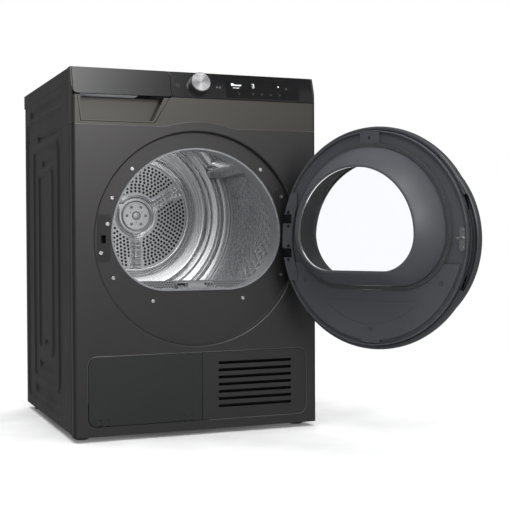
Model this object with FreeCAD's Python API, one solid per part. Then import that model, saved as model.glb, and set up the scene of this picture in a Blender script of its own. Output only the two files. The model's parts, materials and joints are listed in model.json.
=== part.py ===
import FreeCAD, Part
import math
import os

# Front-loading heat-pump clothes dryer. Millimetres, +Z up.
# Origin: on the floor, under the middle of the cabinet. -Y is the front, +X the viewer's right.

# ---- Cabinet
HALF_WIDTH = 300.0
FRONT = -300.0
REAR = 300.0
HEIGHT = 850.0
SHEET = 1.2
SIDE_FRONT = -274.4
SIDE_REAR = 280.0
SIDE_BOTTOM = 16.0
PANEL_BOTTOM = 12.0
PANEL_RETURN = -275.0
PANEL_TOP = 719.0
COVER_BOTTOM = 815.0
COVER_FRONT = -261.4
CORNER_R = 9.0

# ---- Door recess and loading opening in the front panel
DOOR_Z = 460.0
RECESS_R = 249.4
RECESS_FLOOR = -288.0
ARCH_R = 272.0
TUNNEL_WALL = 2.4
SILL_TOP = 361.0
MOUTH = {"radius": 206.0, "lift": 3.0, "flat": -117.0, "corner": 130.0}

# ---- Control panel, leaning back towards its top
LEAN_BOTTOM_Z = 788.0
LEAN_TOP_Y = -280.0
GLASS_LEFT = -66.0
GLASS_RIGHT = 294.0
DRAWER_LEFT = -296.5
DRAWER_RIGHT = -67.5
KNOB_X = 2.0
KNOB_R = 24.5
KNOB_UP = 33.0

# ---- Lower front opening
KICK_LEFT = -268.0
KICK_RIGHT = 272.0
KICK_BOTTOM = 34.0
KICK_TOP = 194.0
KICK_SPLIT = 5.0
FLAP_AXIS_Y = -297.5
FLAP_AXIS_Z = 47.0
FLAP_HINGES = (-232.0, -30.0)

# ---- Drum and drive
DRUM_Z = 524.0
DRUM_R = 284.0
DRUM_WALL = 1.0
DRUM_FRONT = -236.0
DRUM_BACK = 250.0
LIFTER_ANGLES = (28.5, 148.5, 268.5)
SHAFT_R = 12.0
MOTOR_X = 205.0
MOTOR_Z = 170.0
PULLEY_R = 12.0
BELT_Y = 181.0
BELT_WIDTH = 12.0
BELT_THICK = 3.0
RUN_GAP = 0.05
ROLLER_R = 30.0
IDLER_R = 20.0

# ---- Door: hinge axis, opening angle at rest, thickness positions measured from the hinge plane
HINGE_X = 230.0
HINGE_Y = -317.0
DOOR_REST_ANGLE = 120.6
KNUCKLES = (46.5, -34.5)
KNUCKLE_HALF = 9.0
PIN_R = 2.5

# ---- Feet
FOOT_X = 270.0
FOOT_Y = 240.0

NODES = {}


def vec(x, y, z):
    return FreeCAD.Vector(x, y, z)


def box(x0, x1, y0, y1, z0, z1):
    return Part.makeBox(x1 - x0, y1 - y0, z1 - z0, vec(x0, y0, z0))


def cyl_y(x, z, y0, y1, r):
    return Part.makeCylinder(r, y1 - y0, vec(x, y0, z), vec(0, 1, 0))


def cyl_z(x, y, z0, z1, r):
    return Part.makeCylinder(r, z1 - z0, vec(x, y, z0), vec(0, 0, 1))


def cyl_x(y, z, x0, x1, r):
    return Part.makeCylinder(r, x1 - x0, vec(x0, y, z), vec(1, 0, 0))


def ring_y(x, z, y0, y1, outer, inner):
    return cyl_y(x, z, y0, y1, outer).cut(cyl_y(x, z, y0 - 1, y1 + 1, inner))


def ring_z(x, y, z0, z1, outer, inner):
    return cyl_z(x, y, z0, z1, outer).cut(cyl_z(x, y, z0 - 1, z1 + 1, inner))


def fuse(shapes):
    return shapes[0].multiFuse(shapes[1:]).removeSplitter() if len(shapes) > 1 else shapes[0]


def cut_all(shape, tools):
    for tool in tools:
        shape = shape.cut(tool)
    return shape


def prism(points, direction):
    """Straight prism on a closed polygon of 3D points."""
    wire = Part.makePolygon([vec(*p) for p in points] + [vec(*points[0])])
    return Part.Face(wire).extrude(vec(*direction))


def prism_y(points_xz, y0, y1):
    return prism([(x, y0, z) for x, z in points_xz], (0, y1 - y0, 0))


def prism_x(points_yz, x0, x1):
    return prism([(x0, y, z) for y, z in points_yz], (x1 - x0, 0, 0))


def prism_z(points_xy, z0, z1):
    return prism([(x, y, z0) for x, y in points_xy], (0, 0, z1 - z0))


def rounded_y(x0, x1, z0, z1, r, y0, y1):
    """Rounded rectangle in the XZ plane, extruded along Y."""
    block = box(x0, x1, y0, y1, z0, z1)
    return block.makeFillet(r, [e for e in block.Edges if abs(e.tangentAt(e.FirstParameter).y) > 0.9])


def rounded_x(y0, y1, z0, z1, r, x0, x1):
    """Rounded rectangle in the YZ plane, extruded along X."""
    block = box(x0, x1, y0, y1, z0, z1)
    return block.makeFillet(r, [e for e in block.Edges if abs(e.tangentAt(e.FirstParameter).x) > 0.9])


def d_wire(y, radius, lift, flat, corner):
    """D outline around the door centre: a round top, a flat bottom and large tangent corners."""
    reach = radius - corner
    drop = flat + corner - lift
    side = math.sqrt(reach * reach - drop * drop)
    ux = side / reach
    uz = drop / reach

    def at(x, z):
        return vec(x, y, DOOR_Z + z)

    right_join = (radius * ux, lift + radius * uz)
    half = math.radians(45.0)
    mid_angle = 0.5 * (math.atan2(uz, ux) - math.pi / 2.0)
    corner_mid = (side + corner * math.cos(mid_angle), flat + corner + corner * math.sin(mid_angle))
    top = (0.0, lift + radius)
    shoulder = (radius * math.cos(half), lift + radius * math.sin(half))
    edges = [
        Part.Arc(at(*right_join), at(*shoulder), at(*top)).toShape(),
        Part.Arc(at(*top), at(-shoulder[0], shoulder[1]), at(-right_join[0], right_join[1])).toShape(),
        Part.Arc(at(-right_join[0], right_join[1]), at(-corner_mid[0], corner_mid[1]),
                 at(-side, flat)).toShape(),
        Part.makeLine(at(-side, flat), at(side, flat)),
        Part.Arc(at(side, flat), at(*corner_mid), at(*right_join)).toShape(),
    ]
    return Part.Wire(edges)


def d_prism(y0, y1, grow, shape=None):
    """Prism on the D outline, grown outwards by a margin."""
    s = MOUTH if shape is None else shape
    wire = d_wire(y0, s["radius"] + grow, s["lift"], s["flat"] - grow, s["corner"] + grow)
    return Part.Face(wire).extrude(vec(0, y1 - y0, 0))


def revolve_y(profile, x, z):
    """Solid of revolution about a Y axis through (x, z). The profile is a list of (radius, y)."""
    points = [vec(x + r, y, z) for r, y in profile]
    wire = Part.makePolygon(points + points[:1])
    return Part.Face(wire).revolve(vec(x, 0, z), vec(0, 1, 0), 360)


def sectors(shape, z, step):
    """Solids of a ring round the Y axis through (0, z), parted at even angles."""
    parts = []
    for start in range(0, 360, step):
        turns = [math.radians(start + step * k / 2) for k in range(3)]
        pie = [(0.0, z)] + [(700 * math.cos(a), z + 700 * math.sin(a)) for a in turns]
        parts += shape.common(prism_y(pie, -400, 0)).Solids
    return parts


def add(name, shape):
    NODES[name] = shape


# ------------------------------------------------------------------ cabinet shell

def channel(y0, y1, z0, z1, r, width, depth):
    """Embossed channel along a rounded rectangle: the hole in the sheet and the folded metal behind it."""
    x_out = -HALF_WIDTH
    x_in = x_out + SHEET
    deep = x_out + depth

    def block(grow, xa, xb):
        radius = max(r + grow, 1.0)
        return rounded_x(y0 - grow, y1 + grow, z0 - grow, z1 + grow, radius, xa, xb)

    hole = block(0, x_out - 1, deep - SHEET)
    metal = block(SHEET, x_in, deep)
    if width:
        hole = hole.cut(block(-width, x_out - 2, deep))
        metal = metal.cut(block(-width - SHEET, x_in - 1, deep + 1))
    return hole, metal


def side_panel():
    sheet = box(-HALF_WIDTH, -HALF_WIDTH + SHEET, SIDE_FRONT, SIDE_REAR, SIDE_BOTTOM, COVER_BOTTOM - 0.5)
    hem = -HALF_WIDTH + 14.0
    parts = [sheet]
    parts.append(box(-HALF_WIDTH, hem, SIDE_FRONT, SIDE_FRONT + SHEET, SIDE_BOTTOM, PANEL_TOP))
    parts.append(box(-HALF_WIDTH, hem, SIDE_REAR - SHEET, SIDE_REAR, SIDE_BOTTOM, COVER_BOTTOM - 0.5))
    parts.append(box(-HALF_WIDTH, hem, SIDE_FRONT, SIDE_REAR, SIDE_BOTTOM, SIDE_BOTTOM + SHEET))
    rings = [(-205, 250, 44, 765, 30, 16, 4.5), (-130, 172, 98, 692, 26, 14, 4.5),
             (-60, 104, 176, 628, 24, 12, 4.5)]
    slots = [(-196, 200, 776, 796, 9.5, 0, 6), (-120, 122, 708, 726, 8.5, 0, 6),
             (-52, 66, 642, 658, 7.5, 0, 6), (-104, 166, 60, 80, 9.5, 0, 6),
             (-56, 110, 130, 148, 8.5, 0, 6), (2, 42, 194, 208, 6.5, 0, 6)]
    holes = []
    for spec in rings + slots:
        hole, metal = channel(*spec)
        holes.append(hole)
        parts.append(metal)
    holes.append(box(-HALF_WIDTH - 1, -HALF_WIDTH + 3, SIDE_FRONT - 1, COVER_FRONT, PANEL_TOP + 0.2, HEIGHT))
    return cut_all(fuse(parts), holes)


def mirrored(shape):
    return shape.mirror(vec(0, 0, 0), vec(1, 0, 0))


def front_block(inset, y_back, z0, z1):
    """Block with the plan outline of the cabinet front and its two rounded corners."""
    x = HALF_WIDTH - inset
    y = FRONT + inset
    r = CORNER_R - inset * 0.5
    k = r * (1 - math.sqrt(0.5))
    edges = [
        Part.makeLine(vec(-x, y_back, z0), vec(-x, y + r, z0)),
        Part.Arc(vec(-x, y + r, z0), vec(-x + k, y + k, z0), vec(-x + r, y, z0)).toShape(),
        Part.makeLine(vec(-x + r, y, z0), vec(x - r, y, z0)),
        Part.Arc(vec(x - r, y, z0), vec(x - k, y + k, z0), vec(x, y + r, z0)).toShape(),
        Part.makeLine(vec(x, y + r, z0), vec(x, y_back, z0)),
        Part.makeLine(vec(x, y_back, z0), vec(-x, y_back, z0)),
    ]
    return Part.Face(Part.Wire(edges)).extrude(vec(0, 0, z1 - z0))


def recess_cup():
    """Round door recess pressed into the front panel, with a rounded lip."""
    lip = 4.0
    steps = 5
    outer = []
    inner = []
    for i in range(steps + 1):
        a = math.pi / 2 * i / steps
        outer.append((RECESS_R + lip - lip * math.sin(a), FRONT + lip - lip * math.cos(a)))
        t = lip - SHEET
        inner.append((RECESS_R + lip - t * math.sin(a), FRONT + lip - t * math.cos(a)))
    floor_back = RECESS_FLOOR + SHEET
    profile = outer + [(RECESS_R, RECESS_FLOOR), (0.0, RECESS_FLOOR), (0.0, floor_back)]
    profile += [(RECESS_R + SHEET, floor_back)] + inner[::-1]
    return revolve_y(profile, 0, DOOR_Z)


def front_panel():
    shell = front_block(0, PANEL_RETURN, PANEL_BOTTOM, PANEL_TOP)
    shell = shell.cut(front_block(SHEET, PANEL_RETURN + 1, PANEL_BOTTOM - 1, PANEL_TOP + 1))
    hem = box(-HALF_WIDTH + 10, HALF_WIDTH - 10, FRONT + 0.6, PANEL_RETURN, PANEL_BOTTOM, PANEL_BOTTOM + SHEET)
    arch = cyl_y(0, DOOR_Z, FRONT, FRONT + SHEET, ARCH_R).common(
        box(-HALF_WIDTH, HALF_WIDTH, FRONT - 1, 0, PANEL_TOP - 1, HEIGHT))
    shell = fuse([shell, hem, arch])
    shell = shell.cut(cyl_y(0, DOOR_Z, FRONT - 1, RECESS_FLOOR, RECESS_R + 4.0))
    shell = shell.cut(rounded_y(KICK_LEFT, KICK_RIGHT, KICK_BOTTOM, KICK_TOP, 20, FRONT - 1, FRONT + 5))
    cup = recess_cup().cut(d_prism(FRONT - 5, RECESS_FLOOR + 5, TUNNEL_WALL + 0.2))
    catch_band = box(-HALF_WIDTH, 0, FRONT - 1, RECESS_FLOOR + 3, DOOR_Z - 11, DOOR_Z + 11)
    catch_hole = box(-236, -220, RECESS_FLOOR - 1, RECESS_FLOOR + 3, DOOR_Z - 12, DOOR_Z + 12)
    beside_catch = cup.common(catch_band).cut(catch_hole).Solids
    return Part.Compound(shell.Solids + sectors(cup.cut(catch_band), DOOR_Z, 30) + beside_catch)


LEAN_LENGTH = math.hypot(HEIGHT - LEAN_BOTTOM_Z, LEAN_TOP_Y - FRONT)
LEAN_TILT = math.degrees(math.atan2(LEAN_TOP_Y - FRONT, HEIGHT - LEAN_BOTTOM_Z))


def on_lean(shape):
    """Carries a shape drawn on a plane face at the origin onto the leaning control face."""
    shape.rotate(vec(0, 0, 0), vec(1, 0, 0), -LEAN_TILT)
    shape.translate(vec(0, FRONT, LEAN_BOTTOM_Z))
    return shape


def lean_prism(x0, x1, low, high, out, inner, r):
    """Block on the leaning control face: from low to high along the slope, between two depths."""
    block = box(x0, x1, -out, -inner, low, high)
    if r:
        block = block.makeFillet(r, [e for e in block.Edges if abs(e.tangentAt(e.FirstParameter).y) > 0.9])
    return on_lean(block)


def grip_prism(y0, y1, margin):
    pts = [(-280 - margin, 727 - margin), (-108 + margin, 727 - margin),
           (-72 + margin * 1.4, 786 + margin), (-288 - margin, 786 + margin)]
    return prism_y(pts, y0, y1)


def fascia():
    wall = 3.0
    base = PANEL_TOP + 0.8
    side = [(FRONT, base), (FRONT, LEAN_BOTTOM_Z), (LEAN_TOP_Y, HEIGHT), (-262, HEIGHT), (-262, base)]
    core = [(FRONT + wall, base - 1), (FRONT + wall, LEAN_BOTTOM_Z - 1), (LEAN_TOP_Y + wall, HEIGHT - wall),
            (-250, HEIGHT - wall), (-250, base - 1)]
    shell = prism_x(side, -HALF_WIDTH, HALF_WIDTH).common(front_block(0, 0, base - 5, HEIGHT + 5))
    shell = shell.cut(prism_x(core, -HALF_WIDTH + wall, HALF_WIDTH - wall))
    tools = [cyl_y(0, DOOR_Z, FRONT - 5, 0, ARCH_R + 0.8)]
    tools.append(grip_prism(FRONT - 5, -240, 0.8))
    tools.append(lean_prism(DRAWER_LEFT - 0.8, DRAWER_RIGHT + 0.7, -2, LEAN_LENGTH - 4, 5, -20, 0))
    tools.append(lean_prism(DRAWER_LEFT - 0.8, DRAWER_RIGHT + 0.7, -2, LEAN_LENGTH - 0.6, 5, -1.6, 0))
    tools.append(lean_prism(GLASS_LEFT - 0.8, GLASS_RIGHT + 0.4, -0.4, LEAN_LENGTH - 0.6, 5, -1.6, 0))
    shell = cut_all(shell, tools)
    bush = on_lean(cyl_y(KNOB_X, KNOB_UP, 2.0, 14.0, 9.0))
    rails = [box(-293.5, -274.8, -264, 205, 730, 734.5), box(-293.5, -289, -264, 205, 734.0, 806),
             box(-298.0, -289, -268, -262, 730, 806)]
    shell = fuse([shell, bush] + rails)
    return shell.cut(on_lean(cyl_y(KNOB_X, KNOB_UP, -5, 20, 3.95 + RUN_GAP)))


def control_glass():
    glass = lean_prism(GLASS_LEFT, GLASS_RIGHT, 0, LEAN_LENGTH - 1.0, 2.4, -1.2, 8)
    return glass.cut(on_lean(cyl_y(KNOB_X, KNOB_UP, -5, 5, 5.0)))


def program_knob():
    skirt = [(0.0, -21.5), (KNOB_R - 2.0, -21.5), (KNOB_R - 0.6, -20.6), (KNOB_R, -19.0),
             (KNOB_R + 0.6, -3.2), (3.95, -3.2), (3.95, 12.0), (0.0, 12.0)]
    return on_lean(revolve_y(skirt, KNOB_X, KNOB_UP))


def control_board():
    board = on_lean(box(-40, 280, 15, 17, 6, LEAN_LENGTH - 14))
    return board.cut(on_lean(cyl_y(KNOB_X, KNOB_UP, 0, 25, 10)))


def top_cover():
    wall = 3.0
    block = box(-HALF_WIDTH, HALF_WIDTH, COVER_FRONT, REAR, COVER_BOTTOM, HEIGHT)
    block = block.makeFillet(7, [e for e in block.Edges if abs(e.tangentAt(e.FirstParameter).z) > 0.9
                                 and e.CenterOfMass.y > 0])
    top_edges = [e for e in block.Edges if e.BoundBox.ZMin > HEIGHT - 0.01]
    block = block.makeFillet(2.5, [e for e in top_edges if e.CenterOfMass.y > COVER_FRONT + 1])
    inside = HALF_WIDTH - wall
    inner = box(-inside, inside, COVER_FRONT - 1, REAR - wall, COVER_BOTTOM - 1, HEIGHT - 4)
    return block.cut(inner)


def rear_panel():
    edge = HALF_WIDTH - 14.5
    sheet = box(-edge, edge, SIDE_REAR - SHEET, SIDE_REAR, SIDE_BOTTOM + 2, COVER_BOTTOM - 1)
    tools = [cyl_y(0, DRUM_Z, 0, REAR, 190).cut(cyl_y(0, DRUM_Z, -1, REAR, 64))]
    arms = [box(-9, 9, 270, 290, DRUM_Z, DRUM_Z + 200)]
    for turn in (120, 240):
        arm = arms[0].copy()
        arm.rotate(vec(0, 0, DRUM_Z), vec(0, 1, 0), turn)
        arms.append(arm)
    tools[0] = cut_all(tools[0], arms)
    tools.append(cyl_y(0, DRUM_Z, 0, REAR, SHAFT_R + 2))
    tools.append(cyl_y(MOTOR_X, MOTOR_Z, 0, REAR, 40))
    tools.append(cyl_y(-200, 90, 0, REAR, 7.6))
    tools.append(box(-262, -218, 0, REAR, 640, 668))
    return fuse([cut_all(sheet, tools), bearing_bracket()])


def rear_duct():
    """Raised cover over the rear air path: round over the drum, tapering to the fan."""
    r_big = 205.0
    r_small = 66.0
    y_out = REAR - 2.0

    def blob(grow, ya, yb):
        big = cyl_y(0, DRUM_Z, ya, yb, r_big + grow)
        small = cyl_y(MOTOR_X, MOTOR_Z, ya, yb, r_small + grow)
        span = math.hypot(MOTOR_X, DRUM_Z - MOTOR_Z)
        base = math.atan2(MOTOR_Z - DRUM_Z, MOTOR_X)
        off = math.acos((r_big - r_small) / span)
        pts = []
        for sign, radius, cx, cz in ((1, r_big, 0, DRUM_Z), (1, r_small, MOTOR_X, MOTOR_Z),
                                     (-1, r_small, MOTOR_X, MOTOR_Z), (-1, r_big, 0, DRUM_Z)):
            a = base + sign * off
            pts.append((cx + (radius + grow) * math.cos(a), cz + (radius + grow) * math.sin(a)))
        return fuse([big, small, prism_y(pts, ya, yb)])

    shell = fuse([blob(0, SIDE_REAR, y_out), blob(12, SIDE_REAR, SIDE_REAR + 1.5)])
    shell = shell.cut(blob(-2.0, SIDE_REAR - 1, y_out - 2.0))
    slots = []
    for row in range(5):
        z = MOTOR_Z - 32 + row * 16
        half = math.sqrt(44.0 ** 2 - (z - MOTOR_Z) ** 2)
        slots.append(rounded_y(MOTOR_X - half, MOTOR_X + half, z - 3, z + 3, 2.5, y_out - 5, y_out + 5))
    return cut_all(shell, slots)


def base_tray():
    x = 293.4
    y0 = -272.0
    y1 = 277.0
    tray = box(-x, x, y0, y1, SIDE_BOTTOM + SHEET + 0.3, 62).cut(box(-x + 4, x - 4, y0 + 4, y1 - 4, 24, 80))
    parts = [tray]
    for sx in (-1, 1):
        for sy in (-1, 1):
            parts.append(cyl_z(sx * FOOT_X, sy * FOOT_Y, SIDE_BOTTOM + SHEET + 0.3, 60, 14))
    parts.append(box(0, 3, y0, 60, 24, 150))
    parts.append(box(MOTOR_X - 45, MOTOR_X + 45, 70, 76, 24, 108))
    parts.append(box(MOTOR_X - 45, MOTOR_X + 45, 128, 134, 24, 108))
    parts += [duct_case(), fan_volute(), idler_pivot_post()]
    shape = fuse(parts)
    tools = [fan_chamber()]
    for sx in (-1, 1):
        for sy in (-1, 1):
            tools.append(cyl_z(sx * FOOT_X, sy * FOOT_Y, 0, 90, 5.0 + RUN_GAP))
    return cut_all(shape, tools)


def foot(sx, sy):
    x = sx * FOOT_X
    y = sy * FOOT_Y
    pad = cyl_z(x, y, 0, 7, 17)
    pad = pad.makeChamfer(1.5, [e for e in pad.Edges if abs(e.CenterOfMass.z) < 0.01 and e.Length > 90])
    corners = [math.radians(60 * i) for i in range(6)]
    hexagon = [(x + 12 * math.cos(a), y + 12 * math.sin(a)) for a in corners]
    return fuse([pad, prism_z(hexagon, 6.5, 13), cyl_z(x, y, 12, 56, 5.0)])


# ------------------------------------------------------------------ lower front

def grille_panel():
    low = KICK_BOTTOM + 1.2
    high = KICK_TOP - 1.2
    plate = rounded_y(KICK_SPLIT + 0.6, KICK_RIGHT - 1.2, low, high, 19, FRONT, FRONT + 3)
    square = box(KICK_SPLIT + 0.6, KICK_SPLIT + 40, FRONT, FRONT + 3, low, high)
    plate = fuse([plate, square])
    slots = []
    for i in range(7):
        z = 65.0 + i * 17.0
        slots.append(rounded_y(45, 232, z - 3.6, z + 3.6, 3.0, FRONT - 1, FRONT + 5))
    plate = cut_all(plate, slots)
    vanes = []
    for i in range(7):
        z = 65.0 + i * 17.0
        vane = [(FRONT + 3, z + 4.4), (FRONT + 3, z + 5.9), (FRONT + 17, z - 4.1), (FRONT + 17, z - 5.6)]
        vanes.append(prism_x(vane, 44, 233))
    frame = [box(42, 44, FRONT + 3, FRONT + 17, 56, 176), box(233, 235, FRONT + 3, FRONT + 17, 56, 176)]
    return fuse([plate] + vanes + frame)


def exchanger_flap():
    """Push-open cover that turns down on barrels set into its own thickness."""
    low = KICK_BOTTOM + 1.2
    high = KICK_TOP - 1.2
    plate = rounded_y(KICK_LEFT + 1.8, KICK_SPLIT - 0.6, low, high, 19, FRONT, FRONT + 3)
    square = box(KICK_SPLIT - 40, KICK_SPLIT - 0.6, FRONT, FRONT + 3, low, high)
    shape = fuse([plate, square, box(-140, -124, FRONT + 2, FRONT + 12, 178, 181)])
    for x in FLAP_HINGES:
        for side in (-1, 1):
            middle = x + side * 8.75
            notch = box(middle - 2.75, middle + 2.75, FRONT - 1, FRONT + 5, low - 1, FLAP_AXIS_Z + 3.3)
            shape = shape.cut(notch)
        shape = fuse([shape, cyl_x(FLAP_AXIS_Y, FLAP_AXIS_Z, x - 6, x + 6, 2.5)])
        shape = shape.cut(cyl_x(FLAP_AXIS_Y, FLAP_AXIS_Z, x - 8, x + 8, 1.2 + RUN_GAP))
    return shape


def flap_pins():
    """Two fixed pins between posts; the flap's barrels turn on them."""
    pins = []
    for x in FLAP_HINGES:
        pin = cyl_x(FLAP_AXIS_Y, FLAP_AXIS_Z, x - 11, x + 11, 1.2)
        for side in (-1, 1):
            middle = x + side * 8.75
            post = box(middle - 2.25, middle + 2.25, FRONT + 0.8, -275.0, KICK_BOTTOM + 3, FLAP_AXIS_Z + 2.2)
            pin = fuse([pin, post])
        pins.append(pin)
    return pins


def exchanger_cover():
    plate = rounded_y(-262, -4, 36, 186, 12, -276, -273)
    ribs = [rounded_y(-230, -36, 60 + i * 26, 66 + i * 26, 2.5, -278.5, -275.5) for i in range(5)]
    knobs = [cyl_y(x, 112, -284, -275.5, 10) for x in (-248, -18)]
    return fuse([plate] + ribs + knobs + flap_pins())


# ------------------------------------------------------------------ drum bulkhead and drum

FILTER_HALF = 46.0


def opening_ring():
    """Moulded front bulkhead: D-shaped lip and tunnel with a disc that closes the drum's front."""
    lip = d_prism(RECESS_FLOOR - 1.6, RECESS_FLOOR, 4.0)
    tunnel = d_prism(RECESS_FLOOR - 0.5, -240, TUNNEL_WALL)
    disc = cyl_y(0, DRUM_Z, -244, -240, 287)
    shape = fuse([lip, tunnel, disc])
    sill = d_prism(-247.4, -243.0, 0.5).common(box(-170, 170, -260, -240, 300, SILL_TOP))
    chute = box(-FILTER_HALF - 8, FILTER_HALF + 8, -284, -246, 232, 350)
    shape = shape.cut(d_prism(-400, 0, 0))
    chute = chute.cut(d_prism(-400, 0, 0.5))
    shape = fuse([shape, chute, sill])
    webs = [box(min(sx * 150, sx * 216), max(sx * 150, sx * 216), -244, -240, 262, 330) for sx in (-1, 1)]
    shape = fuse([shape] + webs + roller_axles())
    shape = shape.cut(box(-FILTER_HALF - 1.5, FILTER_HALF + 1.5, -280, -258, 236, 360))
    return Part.Compound(sectors(shape, DOOR_Z, 30))


def roller_place():
    angle = math.radians(-50.0)
    reach = DRUM_R + ROLLER_R + 0.4
    return reach * math.cos(angle), DRUM_Z + reach * math.sin(angle)


def lint_filter():
    grip = box(-FILTER_HALF, FILTER_HALF, -279, -259, 343.5, 350)
    back = box(-FILTER_HALF, FILTER_HALF, -263, -259, 349, 358)
    grip = fuse([grip, back, box(-20, 20, -275, -263, 349, 355)])
    bag = box(-FILTER_HALF, FILTER_HALF, -275, -263, 240, 344)
    window = []
    for sx in (-1, 1):
        window.append(box(min(sx * 3, sx * 42), max(sx * 3, sx * 42), -276, -270.5, 248, 336))
        window.append(box(min(sx * 3, sx * 42), max(sx * 3, sx * 42), -267.5, -262, 248, 336))
    shape = cut_all(fuse([grip, bag]), window)
    slots = [box(x - 2, x + 2, -282, -256, 346, 352) for x in (-40, -32, -26, 26, 32, 40)]
    return cut_all(shape, slots)


def roller(sx):
    x, z = roller_place()
    wheel = ring_y(sx * x, z, -228, -206, ROLLER_R, 4.0 + RUN_GAP)
    return wheel.makeFillet(3, [e for e in wheel.Edges if e.Length > 150])


def roller_axles():
    x, z = roller_place()
    axles = []
    for sx in (-1, 1):
        axles += [cyl_y(sx * x, z, -241, -203, 4.0), cyl_y(sx * x, z, -244, -229, 12),
                  cyl_y(sx * x, z, -205.5, -203, 8)]
    return axles


def drum_front_seal():
    return ring_y(0, DRUM_Z, -239.9, -236.4, 287, 274)


def drum_shell():
    rib = 2.2
    outer = DRUM_R
    y0 = DRUM_FRONT
    profile = [(outer, y0)]
    for centre in (-40.0, 20.0, 80.0):
        low = outer - rib
        profile += [(outer, centre - 9), (low, centre - 5), (low, centre + 5), (outer, centre + 9)]
    profile += [(outer, DRUM_BACK + 1.5)]
    inner = [(r - DRUM_WALL, y) for r, y in profile[::-1]]
    return revolve_y(profile + inner, 0, DRUM_Z)


def drum_back():
    """Pressed back wall: perforated-field disc, raised rim and two raised rings."""
    front = [(0.0, 247.0), (50.0, 247.0), (56.0, 250.0), (150.0, 250.0), (155.0, 245.5), (168.0, 245.5),
             (174.0, 251.0), (202.0, 251.0), (211.0, 241.0), (236.0, 241.0), (245.0, 251.0), (256.0, 251.0),
             (262.0, 246.0), (278.0, 246.0), (DRUM_R - DRUM_WALL - 0.1, 250.0)]
    back = [(r, y + 1.5) for r, y in front[::-1]]
    disc = revolve_y(front + back, 0, DRUM_Z)
    spokes = []
    for angle in (30.0, 150.0, 270.0):
        spoke = box(44, 153, 246.0, 250.8, -13, 13)
        spoke.rotate(vec(0, 0, 0), vec(0, 1, 0), -angle)
        spoke.translate(vec(0, 0, DRUM_Z))
        spokes.append(spoke)
    return fuse([disc] + spokes).cut(cyl_y(0, DRUM_Z, 200, 300, 11.9))


def drum_hub():
    plate = [(11.9, 243.0), (36.0, 243.0), (40.0, 244.5), (41.0, 247.0), (11.9, 247.0)]
    shape = revolve_y(plate, 0, DRUM_Z)
    for i in range(6):
        a = math.radians(60 * i)
        shape = shape.cut(cyl_y(27 * math.cos(a), DRUM_Z + 27 * math.sin(a), 240, 250, 2.6))
    return Part.Compound([shape] + hub_screws())


def drum_shaft():
    """Stub shaft with a flange behind the back wall."""
    return fuse([cyl_y(0, DRUM_Z, 241.0, 276.0, SHAFT_R - 0.1), cyl_y(0, DRUM_Z, 248.6, 254, 34)])


def hub_screws():
    screws = []
    for i in range(6):
        a = math.radians(60 * i)
        x = 27 * math.cos(a)
        z = DRUM_Z + 27 * math.sin(a)
        screws.append(fuse([cyl_y(x, z, 241.0, 243.0, 4.4), cyl_y(x, z, 242.9, 246.9, 2.5)]))
    return screws


def lifters():
    """Three hollow vanes along the inside of the drum."""
    out = []
    r_in = 240.0
    r_out = DRUM_R - DRUM_WALL - 2.6
    section = [(r_out, -34), (r_in + 8, -15), (r_in, -7), (r_in, 7), (r_in + 8, 15), (r_out, 34)]
    hollow = [(r_out - 2.0, -29), (r_in + 8.5, -13), (r_in + 1.6, -6), (r_in + 1.6, 6), (r_in + 8.5, 13),
              (r_out - 2.0, 29)]
    nose_outline = [(r_in - 5, -200.0, -40), (r_in - 5, -150.0, -40), (r_out + 0.5, -200.0, -40)]
    for angle in LIFTER_ANGLES:
        fin = prism([(r, -196.0, t) for r, t in section], (0, 430.0, 0))
        fin = fin.cut(prism(nose_outline, (0, 0, 80))).common(ring_y(0, 0, -300, 300, r_out, 200))
        fin = fin.cut(prism([(r, -140.0, t) for r, t in hollow], (0, 370.0, 0)))
        fin.rotate(vec(0, 0, 0), vec(0, 1, 0), -angle)
        fin.translate(vec(0, 0, DRUM_Z))
        out.append(fin)
    return Part.Compound(out)


def rear_bearing():
    return ring_y(0, DRUM_Z, 262, 277, 27, SHAFT_R - 0.1 + RUN_GAP)


def bearing_bracket():
    rim = ring_y(0, DRUM_Z, 264, 278.6, 33, 27)
    foot_ring = ring_y(0, DRUM_Z, 276.0, 279.4, 60, 27)
    arms = []
    for angle in (90.0, 210.0, 330.0):
        arm = box(30, 212, 268, 279.4, -8, 8)
        arm.rotate(vec(0, 0, 0), vec(0, 1, 0), -angle)
        arm.translate(vec(0, 0, DRUM_Z))
        arms.append(arm)
    return fuse([rim, foot_ring] + arms)


# ------------------------------------------------------------------ drive and heat-pump circuit

def motor_housing():
    body = ring_y(MOTOR_X, MOTOR_Z, 52, 152, 58, 6.0 + RUN_GAP)
    body = body.makeFillet(6, [e for e in body.Edges if e.Length > 300])
    cradle = [box(MOTOR_X - 40, MOTOR_X + 40, y, y + 6, 108.2, 125) for y in (70, 128)]
    fins = [ring_y(MOTOR_X, MOTOR_Z, y, y + 3, 61, 57) for y in (84, 94, 104, 114)]
    return fuse([body] + cradle + fins)


def motor_shaft():
    """Double-ended shaft with the belt pulley turned on it."""
    shaft = cyl_y(MOTOR_X, MOTOR_Z, 44, 258, 6.0)
    wheel = cyl_y(MOTOR_X, MOTOR_Z, BELT_Y - 9, BELT_Y + 9, PULLEY_R)
    flanges = [cyl_y(MOTOR_X, MOTOR_Z, y - 1.2, y + 1.2, PULLEY_R + 5) for y in (BELT_Y - 9, BELT_Y + 9)]
    return fuse([shaft, wheel] + flanges)


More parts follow.
